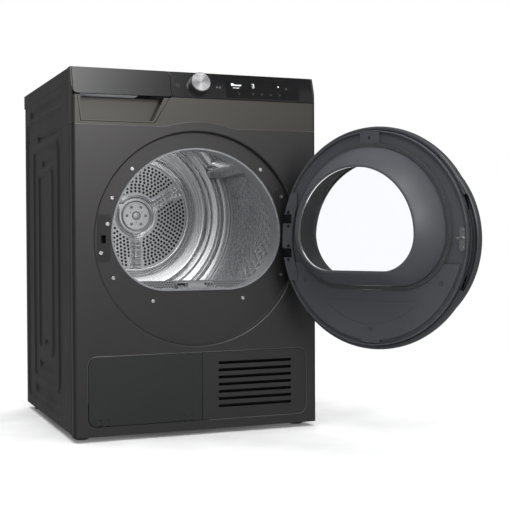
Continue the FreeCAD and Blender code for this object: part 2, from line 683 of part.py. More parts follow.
def fan_impeller():
    hub = ring_y(MOTOR_X, MOTOR_Z, 214, 252, 14, 6.0)
    disc = ring_y(MOTOR_X, MOTOR_Z, 214, 216, 56, 6.0)
    blades = []
    for i in range(14):
        blade = box(38, 56, 215.5, 252, -0.9, 0.9)
        blade.rotate(vec(38, 0, 0), vec(0, 1, 0), 35)
        blade.rotate(vec(0, 0, 0), vec(0, 1, 0), -360.0 * i / 14)
        blade.translate(vec(MOTOR_X, 0, MOTOR_Z))
        blades.append(blade)
    return fuse([hub, disc] + blades)


def fan_volute():
    """Outside of the fan chamber, standing on the tray."""
    drum = cyl_y(MOTOR_X, MOTOR_Z, 204, 276, 72)
    return fuse([drum, box(MOTOR_X - 130, MOTOR_X, 204, 276, MOTOR_Z - 72, MOTOR_Z - 12),
                 box(MOTOR_X - 60, MOTOR_X + 60, 204, 210, 24, MOTOR_Z - 30)])


def fan_chamber():
    """Air space inside the fan housing, with its outlet and the hole for the motor shaft."""
    return fuse([cyl_y(MOTOR_X, MOTOR_Z, 207, 280, 69), cyl_y(MOTOR_X, MOTOR_Z, 190, 210, 20),
                 box(MOTOR_X - 131, MOTOR_X, 207, 273, MOTOR_Z - 69, MOTOR_Z - 15)])


def belt_geometry():
    span = math.hypot(MOTOR_X, DRUM_Z - MOTOR_Z)
    base = math.atan2(MOTOR_Z - DRUM_Z, MOTOR_X)
    off = math.acos((DRUM_R - PULLEY_R) / span)
    return base, off


def belt():
    base, off = belt_geometry()
    y0 = BELT_Y - BELT_WIDTH / 2
    y1 = BELT_Y + BELT_WIDTH / 2

    def loop(gap):
        big = cyl_y(0, DRUM_Z, y0, y1, DRUM_R + gap)
        small = cyl_y(MOTOR_X, MOTOR_Z, y0, y1, PULLEY_R + gap)
        pts = []
        for sign, radius, cx, cz in ((1, DRUM_R, 0, DRUM_Z), (1, PULLEY_R, MOTOR_X, MOTOR_Z),
                                     (-1, PULLEY_R, MOTOR_X, MOTOR_Z), (-1, DRUM_R, 0, DRUM_Z)):
            a = base + sign * off
            pts.append((cx + (radius + gap) * math.cos(a), cz + (radius + gap) * math.sin(a)))
        return fuse([big, small, prism_y(pts, y0, y1)])

    return loop(0.35 + BELT_THICK).cut(loop(0.35))


def idler_place():
    """Idler centre, just outside the belt's lower span."""
    base, off = belt_geometry()
    a = base - off
    reach = PULLEY_R + BELT_THICK + 0.35 + IDLER_R + 0.4
    along = 62.0
    x = MOTOR_X + reach * math.cos(a) + along * math.sin(a)
    z = MOTOR_Z + reach * math.sin(a) - along * math.cos(a)
    return x, z


def idler_pulley():
    x, z = idler_place()
    return ring_y(x, z, BELT_Y - 8, BELT_Y + 8, IDLER_R, 4.0 + RUN_GAP)


IDLER_PIVOT = (MOTOR_X - 145.0, MOTOR_Z - 20.0)


def idler_arm():
    x, z = idler_place()
    px, pz = IDLER_PIVOT
    dx = x - px
    dz = z - pz
    length = math.hypot(dx, dz)
    nx = -dz / length * 7.0
    nz = dx / length * 7.0
    bar = prism_y([(px + nx, pz + nz), (x + nx, z + nz), (x - nx, z - nz), (px - nx, pz - nz)],
                  BELT_Y - 15, BELT_Y - 11)
    ends = [cyl_y(px, pz, BELT_Y - 15, BELT_Y - 11, 11), cyl_y(x, z, BELT_Y - 15, BELT_Y - 11, 9)]
    axle = cyl_y(x, z, BELT_Y - 12, BELT_Y + 10, 4.0)
    arm = fuse([bar, axle] + ends).cut(cyl_y(px, pz, BELT_Y - 20, BELT_Y, 5.0 + RUN_GAP))
    coil = ring_y(px, pz, BELT_Y - 23.5, BELT_Y - 15.0, 9.5, 5.6)
    return Part.Compound([arm, coil])


def idler_pivot_post():
    px, pz = IDLER_PIVOT
    post = cyl_y(px, pz, BELT_Y - 24, BELT_Y - 9, 5.0)
    plate = box(px - 12, px + 12, BELT_Y - 28, BELT_Y - 23.9, 23.0, pz + 14)
    return fuse([post, plate])


def compressor():
    pot = cyl_z(120, -60, 30, 165, 60)
    pot = pot.makeFillet(22, [e for e in pot.Edges if e.Length > 300])
    return fuse([pot, box(66, 174, -112, -8, 24.3, 32)])


def finned_block(y0, y1):
    core = box(-254, -22, y0, y1, 40, 200)
    cuts = [box(-248, -28, y0 + 16, y1 - 16, 46, 194)]
    for i in range(18):
        x = -248 + i * 12.5
        cuts.append(box(x, x + 7.5, y0 - 1, y0 + 14, 44, 196))
        cuts.append(box(x, x + 7.5, y1 - 14, y1 + 1, 44, 196))
    return cut_all(core, cuts)


def duct_case():
    outer = box(-290, -6, -270, 150, 23.5, 208)
    return outer.cut(box(-286, -10, -271, 146, 28, 204)).cut(box(-260, -30, 130, 160, 60, 190))


def tube_path(points, radius):
    """Round tube along straight runs with ball joints at the bends."""
    parts = []
    for a, b in zip(points[:-1], points[1:]):
        start = vec(*a)
        run = vec(*b).sub(start)
        parts.append(Part.makeCylinder(radius, run.Length, start, run))
    for p in points[1:-1]:
        parts.append(Part.makeSphere(radius, vec(*p)))
    return fuse(parts)


def refrigerant_pipes():
    low = tube_path([(120, -22, 165.3), (120, -22, 176), (20, -22, 176), (-5.7, -22, 176)], 4)
    high = tube_path([(120, -98, 165.3), (120, -98, 186), (20, -98, 186), (-5.7, -98, 186)], 5)
    return Part.Compound([low, high])


def drain_pump():
    body = cyl_z(-150, 215, 26, 70, 24)
    return fuse([body, cyl_z(-150, 215, 68, 100, 15), cyl_y(-150, 45, 180, 215, 7)])


def drain_spigot():
    """Rear water outlet that a drain hose pushes onto."""
    neck = ring_y(-200, 90, 262, 280.6, 6.8, 5.0)
    nose = ring_y(-200, 90, 280.6, 298, 7.5, 5.0)
    return fuse([neck, nose, ring_y(-200, 90, 274, 278.6, 14, 5.0)])


def cord_inlet():
    body = box(-261, -219, 268, 282, 641, 667)
    return body.cut(box(-254, -226, 272, 290, 647, 661))


# ------------------------------------------------------------------ drawer and water tank

def tank_front():
    front = lean_prism(DRAWER_LEFT, DRAWER_RIGHT, 0, LEAN_LENGTH - 1.0, 2.4, -1.2, 8)
    web = lean_prism(DRAWER_LEFT + 6, DRAWER_RIGHT - 4, 3, LEAN_LENGTH - 9, -1.2, -6, 0)
    return fuse([front, web])


def tank_grip():
    """Hand recess under the drawer front, one pan with a rounded lower lip."""
    pan = grip_prism(FRONT + 0.4, -264.2, -0.4)
    return pan.cut(prism_y([(-276, 731), (-112, 731), (-78, 800), (-283, 800)], FRONT - 1, -267))


def water_tank():
    outline = [(-274, 737), (-200, 748), (-136, 793), (-136, 808), (-274, 808)]
    inner = [(-271.5, 740), (-201, 750.8), (-138.5, 794.5), (-138.5, 805.5), (-271.5, 805.5)]
    shell = prism_y(outline, -264.2, 200).cut(prism_y(inner, -261.6, 197.4))
    return shell.cut(cyl_z(-230, 150, 800, 820, 15))


# ------------------------------------------------------------------ door catch, hinge, screws, small parts

def latch_plate():
    """Catch plate with a sleeve behind its slot that grips the door's pin."""
    plate = rounded_y(-241, -211, DOOR_Z - 51, DOOR_Z + 57, 8, RECESS_FLOOR - 1.2, RECESS_FLOOR)
    sleeve = box(-236, -220, RECESS_FLOOR - 1, -262, DOOR_Z - 11, DOOR_Z + 11)
    slot = box(-234, -222, RECESS_FLOOR - 3, -264, DOOR_Z - 9, DOOR_Z + 9)
    plate = fuse([plate, sleeve]).cut(slot)
    bands = [(-300, -200, -100, -9), (-300, -200, 9, 100), (-300, -234, -9, 9), (-222, -200, -9, 9)]
    blocks = [box(x0, x1, -300, -264, DOOR_Z + v0, DOOR_Z + v1) for x0, x1, v0, v1 in bands]
    blocks.append(box(-300, -200, -264, -250, DOOR_Z - 20, DOOR_Z + 20))
    return Part.Compound([solid for block in blocks for solid in plate.common(block).Solids])


def front_screws():
    spots = [(-159, 621), (-207, 554), (-205, 371), (-111, 316), (112, 318), (159, 625)]
    screws = []
    for x, z in spots:
        head = cyl_y(x, z, RECESS_FLOOR - 2.6, RECESS_FLOOR, 4.6)
        head = head.makeFillet(1.2, [e for e in head.Edges if abs(e.CenterOfMass.y - RECESS_FLOOR + 2.6) < 0.01
                                     and e.Length > 20])
        screws.append(head.cut(cyl_y(x, z, RECESS_FLOOR - 3, RECESS_FLOOR - 1.4, 1.7)))
    for x, z in [(-218, 495), (-234, 429)]:
        screws.append(cyl_y(x, z, RECESS_FLOOR - 3.2, RECESS_FLOOR - 1.2, 4.4).cut(
            cyl_y(x, z, RECESS_FLOOR - 4, RECESS_FLOOR - 2.2, 1.7)))
    for x, z in [(212, 561), (210, 374)]:
        screws.append(cyl_y(x, z, RECESS_FLOOR - 4.0, RECESS_FLOOR - 2.0, 4.4).cut(
            cyl_y(x, z, RECESS_FLOOR - 5, RECESS_FLOOR - 3.0, 1.7)))
    return Part.Compound(screws)


def hinge_bracket():
    plate = rounded_y(198, 228, 356, 580, 8, RECESS_FLOOR - 2.0, RECESS_FLOOR)
    plate = plate.cut(d_prism(-400, 0, 8.0)).common(cyl_y(0, DOOR_Z, -320, 0, RECESS_R - 0.3))
    parts = [plate]
    for v in KNUCKLES:
        z0 = DOOR_Z + v - KNUCKLE_HALF
        z1 = DOOR_Z + v + KNUCKLE_HALF
        outline = [(217, RECESS_FLOOR - 1), (227, RECESS_FLOOR - 1), (235, HINGE_Y + 1), (226, HINGE_Y - 3)]
        arm = prism_z(outline, z0, z1)
        parts.append(arm)
        parts.append(cyl_z(HINGE_X, HINGE_Y, z0, z1, 6.0))
    shape = fuse(parts)
    return shape.cut(cyl_z(HINGE_X, HINGE_Y, 350, 600, PIN_R + RUN_GAP))


def moisture_bars():
    bars = []
    for y in (-256.0, -249.0):
        for x0, x1 in ((-75, -56), (56, 75)):
            bars.append(box(x0, x1, y - 1.5, y + 1.5, DOOR_Z + MOUTH["flat"], DOOR_Z + MOUTH["flat"] + 2))
    return Part.Compound(bars)


def drum_lamp():
    top = DOOR_Z + MOUTH["lift"] + MOUTH["radius"]
    return rounded_y(-18, 18, top - 12.0, top - 0.9, 4, -256, -250)


# ------------------------------------------------------------------ door, drawn closed

def in_door(y_offset):
    """Y of a layer of the closed door, measured inwards from the hinge plane."""
    return HINGE_Y + y_offset


def door_revolve(profile):
    return revolve_y([(r, in_door(w)) for r, w in profile], 0, DOOR_Z)


BOWL_BASE = {"radius": 196.0, "lift": 9.0, "flat": -107.0, "corner": 120.0}
BOWL_MID = {"radius": 180.0, "lift": 10.0, "flat": -94.0, "corner": 106.0}
BOWL_CREST = {"radius": 157.0, "lift": 9.0, "flat": -80.0, "corner": 88.0}
BOWL_WINDOW = {"radius": 149.5, "lift": 9.0, "flat": -72.5, "corner": 80.0}
BOWL_INNER_MID = {"radius": 162.0, "lift": 9.0, "flat": -84.0, "corner": 94.0}
BOWL_INNER_BASE = {"radius": 172.0, "lift": 6.0, "flat": -93.0, "corner": 106.0}


def d_section(w, s, grow=0.0):
    return d_wire(in_door(w), s["radius"] + grow, s["lift"], s["flat"] - grow, s["corner"] + grow)


def hinge_slots(half_height, reach):
    """Clearance swept by the cabinet's hinge arms through the door's edge, at both knuckles."""
    tools = []
    for v in KNUCKLES:
        pts = [(HINGE_X - 10, HINGE_Y - 7.5), (HINGE_X - reach, HINGE_Y + 40), (HINGE_X + 40, HINGE_Y + 40),
               (HINGE_X + 40, HINGE_Y - 20), (HINGE_X + 17, HINGE_Y - 20), (HINGE_X + 6, HINGE_Y - 7.5)]
        tools.append(prism_z(pts, DOOR_Z + v - half_height, DOOR_Z + v + half_height))
    return tools


def sector(start, end, radius, w0, w1, cx=0.0, cz=0.0):
    """Pie sector about the door centre. Angles run from the free end of the door, upwards."""
    pts = [(cx, DOOR_Z + cz)]
    steps = 8
    for i in range(steps + 1):
        a = math.radians(start + (end - start) * i / steps)
        pts.append((cx - radius * math.cos(a), DOOR_Z + cz + radius * math.sin(a)))
    return prism_y(pts, in_door(w0), in_door(w1))


def door_shell():
    rim = [(245.0, 14.0), (249.0, 13.4), (252.2, 10.0), (253.0, 5.0), (253.0, -2.0), (251.8, -8.0),
           (249.0, -13.0), (244.5, -17.0), (238.0, -20.2), (226.0, -23.0), (206.3, -24.6), (206.3, -21.8),
           (176.0, -21.8), (176.0, -18.4), (226.0, -18.4), (238.0, -15.5), (244.0, -10.0), (246.0, -4.0),
           (245.6, 5.0)]
    shell = door_revolve(rim)
    shift = 46.3
    lean = math.radians(-2.5)
    cx = -shift * math.cos(lean)
    cz = shift * math.sin(lean)
    swell = 216.7
    bulge = [(swell - 26, 13.0), (swell - 4, 13.0), (swell - 1, 10.0), (swell, 5.0), (swell, -2.0),
             (swell - 1.4, -8.0), (swell - 5, -13.0), (swell - 12, -16.8), (swell - 26, -18.0)]
    handle = revolve_y([(r, in_door(w)) for r, w in bulge], cx, DOOR_Z + cz)
    handle = handle.common(sector(-40, 36, 290, -30, 20))
    handle = handle.cut(door_revolve([(0, -30), (247, -30), (247, 20), (0, 20)]))
    scoop = revolve_y([(r, in_door(w)) for r, w in [(swell - 15, 14), (swell - 15, 3), (swell - 10, -1),
                                                    (swell - 4, 4), (swell - 3, 14)]], cx, DOOR_Z + cz)
    scoop = scoop.common(sector(-27, 22, 290, -10, 20))
    shell = fuse([shell, handle]).cut(scoop)
    return cut_all(shell, hinge_slots(11.0, 16))


def hinge_pocket():
    """Room in the door's flange for the hinge plate."""
    ring = door_revolve([(214, 14), (260, 14), (260, 30), (214, 30)])
    return ring.common(box(200, 260, in_door(0), in_door(40), DOOR_Z - 100, DOOR_Z + 109))


def door_inner_frame():
    wall = [(243.0, 21.5), (242.2, 23.5), (240.8, 24.0), (239.0, 23.2), (238.0, 17.5), (120.0, 17.5),
            (120.0, 14.5), (239.6, 14.5), (239.6, 4.0), (243.0, 4.0)]
    frame = door_revolve(wall)
    band = door_revolve([(205, 17.0), (239.5, 17.0), (239.5, 23.6), (205, 23.6)])
    tab = band.common(box(-25, 25, in_door(16), in_door(25), DOOR_Z + 150, DOOR_Z + 250))
    frame = fuse([frame, tab])
    tools = [Part.Face(d_section(10, BOWL_INNER_BASE, 2.0)).extrude(vec(0, 20, 0))]
    tools.append(Part.Face(d_section(17.6, BOWL_BASE, 9.4)).extrude(vec(0, 20, 0)))
    tools.append(cyl_y(0, DOOR_Z + 226, in_door(20), in_door(26), 3.5))
    tools.append(hinge_pocket())
    tools.append(box(HINGE_X - 12, HINGE_X + 30, in_door(0), in_door(18), DOOR_Z - 51, DOOR_Z + 63))
    frame = cut_all(frame, tools + hinge_slots(11.0, 16))
    return fuse([frame, door_funnel()])


def door_hinge_plate():
    plate = door_revolve([(214.3, 14.5), (242.6, 14.5), (242.6, 24.0), (214.3, 24.0)])
    plate = plate.common(box(200, 260, in_door(14), in_door(24), DOOR_Z - 99.6, DOOR_Z + 108.6))
    parts = [plate]
    for v in KNUCKLES:
        for s in (-1, 1):
            z0 = DOOR_Z + v + min(s * 11.0, s * 15.5)
            z1 = DOOR_Z + v + max(s * 11.0, s * 15.5)
            parts.append(cyl_z(HINGE_X, HINGE_Y, z0, z1, 6.0))
            parts.append(box(HINGE_X - 6, HINGE_X + 6, HINGE_Y, in_door(16), z0, z1))
    shape = cut_all(fuse(parts), hinge_slots(11.0, 16))
    for v in (62.5, 29.0, -18.0, -51.0):
        shape = shape.cut(cyl_y(225, DOOR_Z + v, in_door(20), in_door(26), 2.6))
    pins = [cyl_z(HINGE_X, HINGE_Y, DOOR_Z + v - 15.5, DOOR_Z + v + 15.5, PIN_R) for v in KNUCKLES]
    return fuse([shape] + pins)


def door_bowl():
    """Deep D-shaped ring that reaches into the drum and carries the window."""
    base = Part.makeLoft([d_section(17.6, BOWL_BASE), d_section(34, BOWL_BASE, -0.6)], True, True)
    outer = Part.makeLoft([d_section(34, BOWL_BASE, -0.6), d_section(60, BOWL_MID), d_section(86, BOWL_CREST)],
                          True, False)
    cap = Part.makeLoft([d_section(86, BOWL_CREST), d_section(89.4, BOWL_CREST, -3.0),
                         d_section(90, BOWL_WINDOW, 2.0)], True, True)
    inner = Part.makeLoft([d_section(17.0, BOWL_INNER_BASE), d_section(60, BOWL_INNER_MID),
                           d_section(86, BOWL_WINDOW), d_section(91, BOWL_WINDOW)], True, True)
    return fuse([base, outer, cap]).cut(inner)


def door_funnel():
    """Inner wall from the bowl down to the outer glass, widening towards the front."""
    s = BOWL_INNER_BASE
    outer = Part.makeLoft([d_section(-18.2, s, 6.0), d_section(17.4, s, 3.0)], True, True)
    inner = Part.makeLoft([d_section(-18.7, s, 3.0), d_section(18.0, s, 0.0)], True, True)
    return outer.cut(inner)


def door_glass():
    return door_revolve([(0, -25.0), (204.4, -25.0), (205.6, -24.2), (205.6, -22.0), (0, -22.0)])


def door_window():
    s = BOWL_WINDOW
    return Part.Face(d_section(82.0, s, -0.4)).extrude(vec(0, 4.0, 0))


def door_seal():
    ring = Part.Face(d_section(17.7, BOWL_BASE, 9.0)).extrude(vec(0, 8.8, 0))
    return ring.cut(Part.Face(d_section(17.0, BOWL_BASE, 0.4)).extrude(vec(0, 12.0, 0)))


def door_cover_plate():
    disc = door_revolve([(0, 17.7), (231, 17.7), (231, 21.2), (229.8, 22.4), (0, 22.4)])
    low = box(-250, 250, in_door(10), in_door(30), DOOR_Z - 250, DOOR_Z - 56)
    tab = box(-24.5, 24.5, in_door(17.7), in_door(22.4), DOOR_Z - 236.2, DOOR_Z - 200)
    plate = fuse([disc.common(low), tab]).cut(hinge_pocket())
    plate = plate.cut(Part.Face(d_section(10, BOWL_BASE, 9.6)).extrude(vec(0, 20, 0)))
    for x, v in ((-180, -98), (180, -98), (0, -206)):
        plate = plate.cut(cyl_y(x, DOOR_Z + v, in_door(15), in_door(30), 2.2))
    line_low = ring_y(0, DOOR_Z - 24, in_door(21.8), in_door(30), 171, 169.4).common(
        box(-116, 116, in_door(10), in_door(40), DOOR_Z - 250, DOOR_Z - 139))
    line_top = box(-118, 118, in_door(21.8), in_door(30), DOOR_Z - 140.8, DOOR_Z - 139.2)
    return cut_all(plate, [line_low, line_top])


def door_screws():
    screws = []
    for x, v in ((-180, -98), (180, -98), (0, -206)):
        z = DOOR_Z + v
        head = cyl_y(x, z, in_door(22.4), in_door(24.0), 4.2).cut(cyl_y(x, z, in_door(23.2), in_door(25), 1.6))
        screws.append(fuse([head, cyl_y(x, z, in_door(17.8), in_door(22.5), 2.1)]))
    return Part.Compound(screws)


def door_striker():
    plate = rounded_y(-235, -221, DOOR_Z - 28, DOOR_Z + 24, 6, in_door(17.6), in_door(19.6))
    pin = [(4.0, 19.4), (3.4, 30.0), (3.0, 34.0), (5.2, 38.0), (3.0, 45.0), (0.0, 46.0), (0.0, 19.4)]
    hook = revolve_y([(r, in_door(w)) for r, w in pin], -228, DOOR_Z)
    heads = [cyl_y(-228, DOOR_Z + v, in_door(19.5), in_door(21.0), 3.6) for v in (-21, 17)]
    return fuse([plate, hook] + heads)


def place_door(shape):
    """Swings a part of the closed door to the opening angle of the rest pose."""
    shape.rotate(vec(HINGE_X, HINGE_Y, 0), vec(0, 0, 1), DOOR_REST_ANGLE)
    return shape


# ------------------------------------------------------------------ build everything

CABINET_MAKERS = (front_panel, fascia, control_glass, control_board, top_cover, rear_panel, rear_duct,
                  base_tray, grille_panel, exchanger_cover, opening_ring, drum_front_seal, latch_plate,
                  front_screws, hinge_bracket, moisture_bars, drum_lamp, program_knob, exchanger_flap,
                  lint_filter, cord_inlet, tank_front, tank_grip, water_tank)
DRIVE_MAKERS = (drum_shell, drum_back, drum_hub, drum_shaft, lifters, rear_bearing, motor_housing, motor_shaft,
                fan_impeller, belt, idler_pulley, idler_arm, compressor, refrigerant_pipes, drain_pump,
                drain_spigot)
DOOR_MAKERS = (door_shell, door_inner_frame, door_hinge_plate, door_bowl, door_glass, door_window, door_seal,
               door_cover_plate, door_screws, door_striker)


def build():
    left = side_panel()
    add("left_side_panel", left)
    add("right_side_panel", mirrored(left))
    for maker in CABINET_MAKERS + DRIVE_MAKERS:
        add(maker.__name__, maker())
    for maker in DOOR_MAKERS:
        add(maker.__name__, place_door(maker()))
    add("evaporator", finned_block(-250, -160))
    add("condenser", finned_block(-140, -50))
    add("roller_left", roller(-1))
    add("roller_right", roller(1))
    add("levelling_feet_front_left", foot(-1, -1))
    add("levelling_feet_front_right", foot(1, -1))
    add("levelling_feet_rear_left", foot(-1, 1))
    add("levelling_feet_rear_right", foot(1, 1))


build()
os.makedirs("parts", exist_ok=True)
for name, shape in NODES.items():
    shape.exportStep("parts/" + name + ".step")
    print(name, shape.isValid(), len(shape.Solids), round(shape.Volume / 1000.0, 1))
print(len(NODES), "nodes")
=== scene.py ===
import json
import math

import bmesh
import bpy
from mathutils import Matrix, Vector


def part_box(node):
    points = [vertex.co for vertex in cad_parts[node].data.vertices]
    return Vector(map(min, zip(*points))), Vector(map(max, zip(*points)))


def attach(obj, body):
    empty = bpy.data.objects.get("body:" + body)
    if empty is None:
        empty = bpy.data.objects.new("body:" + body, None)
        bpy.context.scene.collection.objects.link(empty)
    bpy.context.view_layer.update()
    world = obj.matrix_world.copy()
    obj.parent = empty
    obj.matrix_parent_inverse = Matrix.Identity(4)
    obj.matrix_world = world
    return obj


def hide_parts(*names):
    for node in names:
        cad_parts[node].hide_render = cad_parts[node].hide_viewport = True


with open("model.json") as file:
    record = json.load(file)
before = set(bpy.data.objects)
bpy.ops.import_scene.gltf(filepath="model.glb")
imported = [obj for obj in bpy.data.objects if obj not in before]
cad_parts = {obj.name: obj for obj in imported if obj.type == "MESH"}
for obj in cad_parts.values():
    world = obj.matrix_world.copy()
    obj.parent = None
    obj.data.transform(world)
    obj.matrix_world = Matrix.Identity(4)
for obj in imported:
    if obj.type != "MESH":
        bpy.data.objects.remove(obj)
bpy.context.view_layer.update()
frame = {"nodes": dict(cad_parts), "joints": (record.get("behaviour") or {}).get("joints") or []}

NODES = frame["nodes"]
MM = 0.001

# ---- Places read from the frame, in millimetres


def low_high(node):
    low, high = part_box(node)
    return low / MM, high / MM


def joint(name):
    return next(j for j in frame["joints"] if j["name"] == name)


SHELL_LOW, SHELL_HIGH = low_high("drum_shell")
DRUM_Z = 0.5 * (SHELL_LOW.z + SHELL_HIGH.z)
DRUM_R = 0.5 * (SHELL_HIGH.z - SHELL_LOW.z)
PANEL_LOW = low_high("front_panel")[0]
FRONT = PANEL_LOW.y
SEAM_Z = PANEL_LOW.z + 707.0
TOP = low_high("top_cover")[1].z
HINGE = joint("door_hinge")["pos_m"]
DOOR_Z = HINGE[2] / MM
KNOB = joint("knob_turn")
LATCH_PROUD = 1.2
RECESS_FLOOR = low_high("latch_plate")[0].y + LATCH_PROUD

# ---- Leaning control face: it rises from LEAN_BOTTOM and lies back towards the top
LEAN_BOTTOM = 788.0
LEAN = math.atan2(20.0, TOP - LEAN_BOTTOM)
GLASS_OUT = 2.4

# ---- D outline of the loading opening: round top, flat bottom, large corners
MOUTH = {"radius": 206.0, "lift": 3.0, "flat": -117.0, "corner": 130.0}


# ------------------------------------------------------------------ materials

def principled(name, color, metallic=0.0, roughness=0.5):
    mat = bpy.data.materials.new(name)
    mat.use_nodes = True
    shader = mat.node_tree.nodes["Principled BSDF"]
    shader.inputs["Base Color"].default_value = (*color, 1.0)
    shader.inputs["Metallic"].default_value = metallic
    shader.inputs["Roughness"].default_value = roughness
    return mat, mat.node_tree, shader


def object_noise(tree, scale, stretch=(1.0, 1.0, 1.0), detail=3.0):
    """Noise in object space; a small stretch number draws the grain out along that axis."""
    place = tree.nodes.new("ShaderNodeTexCoord")
    mapping = tree.nodes.new("ShaderNodeMapping")
    mapping.inputs["Scale"].default_value = stretch
    noise = tree.nodes.new("ShaderNodeTexNoise")
    noise.inputs["Scale"].default_value = scale
    noise.inputs["Detail"].default_value = detail
    tree.links.new(place.outputs["Object"], mapping.inputs["Vector"])
    tree.links.new(mapping.outputs["Vector"], noise.inputs["Vector"])
    return noise.outputs["Fac"]


def ring_noise(tree, centre, axis, scale):
    """Noise that runs in circles round an axis, as turned or spun metal shows."""
    place = tree.nodes.new("ShaderNodeTexCoord")
    offset = tree.nodes.new("ShaderNodeVectorMath")
    offset.operation = "SUBTRACT"
    offset.inputs[1].default_value = centre
    cross = tree.nodes.new("ShaderNodeVectorMath")
    cross.operation = "CROSS_PRODUCT"
    cross.inputs[1].default_value = axis
    length = tree.nodes.new("ShaderNodeVectorMath")
    length.operation = "LENGTH"
    noise = tree.nodes.new("ShaderNodeTexNoise")
    noise.noise_dimensions = "1D"
    noise.inputs["Scale"].default_value = scale
    noise.inputs["Detail"].default_value = 4.0
    tree.links.new(place.outputs["Object"], offset.inputs[0])
    tree.links.new(offset.outputs[0], cross.inputs[0])
    tree.links.new(cross.outputs[0], length.inputs[0])
    tree.links.new(length.outputs["Value"], noise.inputs["W"])
    return noise.outputs["Fac"], cross.outputs[0]


def spread(tree, source, target, low, high):
    """Maps a 0..1 noise onto a socket between two values."""
    span = tree.nodes.new("ShaderNodeMapRange")
    span.inputs["From Min"].default_value = 0.3
    span.inputs["From Max"].default_value = 0.7
    span.inputs["To Min"].default_value = low
    span.inputs["To Max"].default_value = high
    tree.links.new(source, span.inputs["Value"])
    tree.links.new(span.outputs["Result"], target)


def tint(tree, source, target, dark, light):
    ramp = tree.nodes.new("ShaderNodeValToRGB")
    ramp.color_ramp.elements[0].position = 0.3
    ramp.color_ramp.elements[0].color = (*dark, 1.0)
    ramp.color_ramp.elements[1].position = 0.7
    ramp.color_ramp.elements[1].color = (*light, 1.0)
    tree.links.new(source, ramp.inputs["Fac"])
    tree.links.new(ramp.outputs["Color"], target)


def grain(tree, source, shader, strength, depth_mm):
    bump = tree.nodes.new("ShaderNodeBump")
    bump.inputs["Strength"].default_value = strength
    bump.inputs["Distance"].default_value = depth_mm * MM
    tree.links.new(source, bump.inputs["Height"])
    tree.links.new(bump.outputs["Normal"], shader.inputs["Normal"])


def scaled(color, factor):
    return tuple(min(1.0, c * factor) for c in color)


def metallic_paint(name, color, roughness=0.38):
    """Dark lacquer with fine metal flake and a faint orange peel."""
    mat, tree, shader = principled(name, color, 0.75, roughness)
    flake = object_noise(tree, 2600.0, detail=1.0)
    tint(tree, flake, shader.inputs["Base Color"], scaled(color, 0.86), scaled(color, 1.16))
    spread(tree, object_noise(tree, 9.0), shader.inputs["Roughness"], roughness - 0.03, roughness + 0.04)
    grain(tree, object_noise(tree, 420.0, detail=2.0), shader, 0.06, 0.2)
    shader.inputs["Coat Weight"].default_value = 0.25
    shader.inputs["Coat Roughness"].default_value = 0.22
    return mat


def moulded(name, color, roughness=0.45, pore=0.12, scale=1500.0):
    """Moulded plastic: fine spark-erosion grain and slow tone variation."""
    mat, tree, shader = principled(name, color, 0.0, roughness)
    tint(tree, object_noise(tree, 7.0), shader.inputs["Base Color"], scaled(color, 0.93), scaled(color, 1.07))
    spread(tree, object_noise(tree, 30.0), shader.inputs["Roughness"], roughness - 0.04, roughness + 0.05)
    grain(tree, object_noise(tree, scale, detail=2.0), shader, pore, 0.15)
    return mat


def gloss(name, color, roughness=0.06):
    mat, tree, shader = principled(name, color, 0.0, roughness)
    spread(tree, object_noise(tree, 40.0), shader.inputs["Roughness"], roughness, roughness + 0.05)
    grain(tree, object_noise(tree, 12.0, detail=1.0), shader, 0.02, 0.3)
    shader.inputs["Coat Weight"].default_value = 0.6
    shader.inputs["Coat Roughness"].default_value = 0.04
    return mat


def sheet_metal(name, color, roughness=0.3, stretch=(1.0, 1.0, 1.0), scale=300.0, metallic=1.0):
    """Rolled or brushed sheet, its grain drawn out along the axis with the small stretch number."""
    mat, tree, shader = principled(name, color, metallic, roughness)
    lines = object_noise(tree, scale, stretch)
    tint(tree, lines, shader.inputs["Base Color"], scaled(color, 0.88), scaled(color, 1.08))
    spread(tree, lines, shader.inputs["Roughness"], roughness - 0.06, roughness + 0.08)
    grain(tree, lines, shader, 0.08, 0.1)
    return mat


def spun_metal(name, color, centre, axis, roughness=0.25, scale=900.0, anisotropy=0.7, metallic=1.0):
    """Turned metal: circular grain round an axis, with highlights that fan out from the middle."""
    mat, tree, shader = principled(name, color, metallic, roughness)
    rings, along = ring_noise(tree, centre, axis, scale)
    tint(tree, rings, shader.inputs["Base Color"], scaled(color, 0.84), scaled(color, 1.08))
    spread(tree, rings, shader.inputs["Roughness"], roughness - 0.05, roughness + 0.1)
    grain(tree, rings, shader, 0.1, 0.05)
    tree.links.new(along, shader.inputs["Tangent"])
    shader.inputs["Anisotropic"].default_value = anisotropy
    return mat


def rubber(name, color):
    mat, tree, shader = principled(name, color, 0.0, 0.7)
    dark = scaled(color, 0.85)
    light = scaled(color, 1.15)
    tint(tree, object_noise(tree, 60.0), shader.inputs["Base Color"], dark, light)
    grain(tree, object_noise(tree, 900.0, detail=4.0), shader, 0.2, 0.2)
    shader.inputs["Sheen Weight"].default_value = 0.08
    return mat


def clear_glass(name, color, roughness=0.0):
    mat, tree, shader = principled(name, color, 0.0, roughness)
    spread(tree, object_noise(tree, 15.0), shader.inputs["Roughness"], roughness, roughness + 0.015)
    shader.inputs["Transmission Weight"].default_value = 1.0
    shader.inputs["IOR"].default_value = 1.12
    return mat


def lit(name, color, strength):
    mat, tree, shader = principled(name, color, 0.0, 0.4)
    tint(tree, object_noise(tree, 200.0), shader.inputs["Base Color"], scaled(color, 0.9), color)
    shader.inputs["Emission Color"].default_value = (*color, 1.0)
    shader.inputs["Emission Strength"].default_value = strength
    return mat


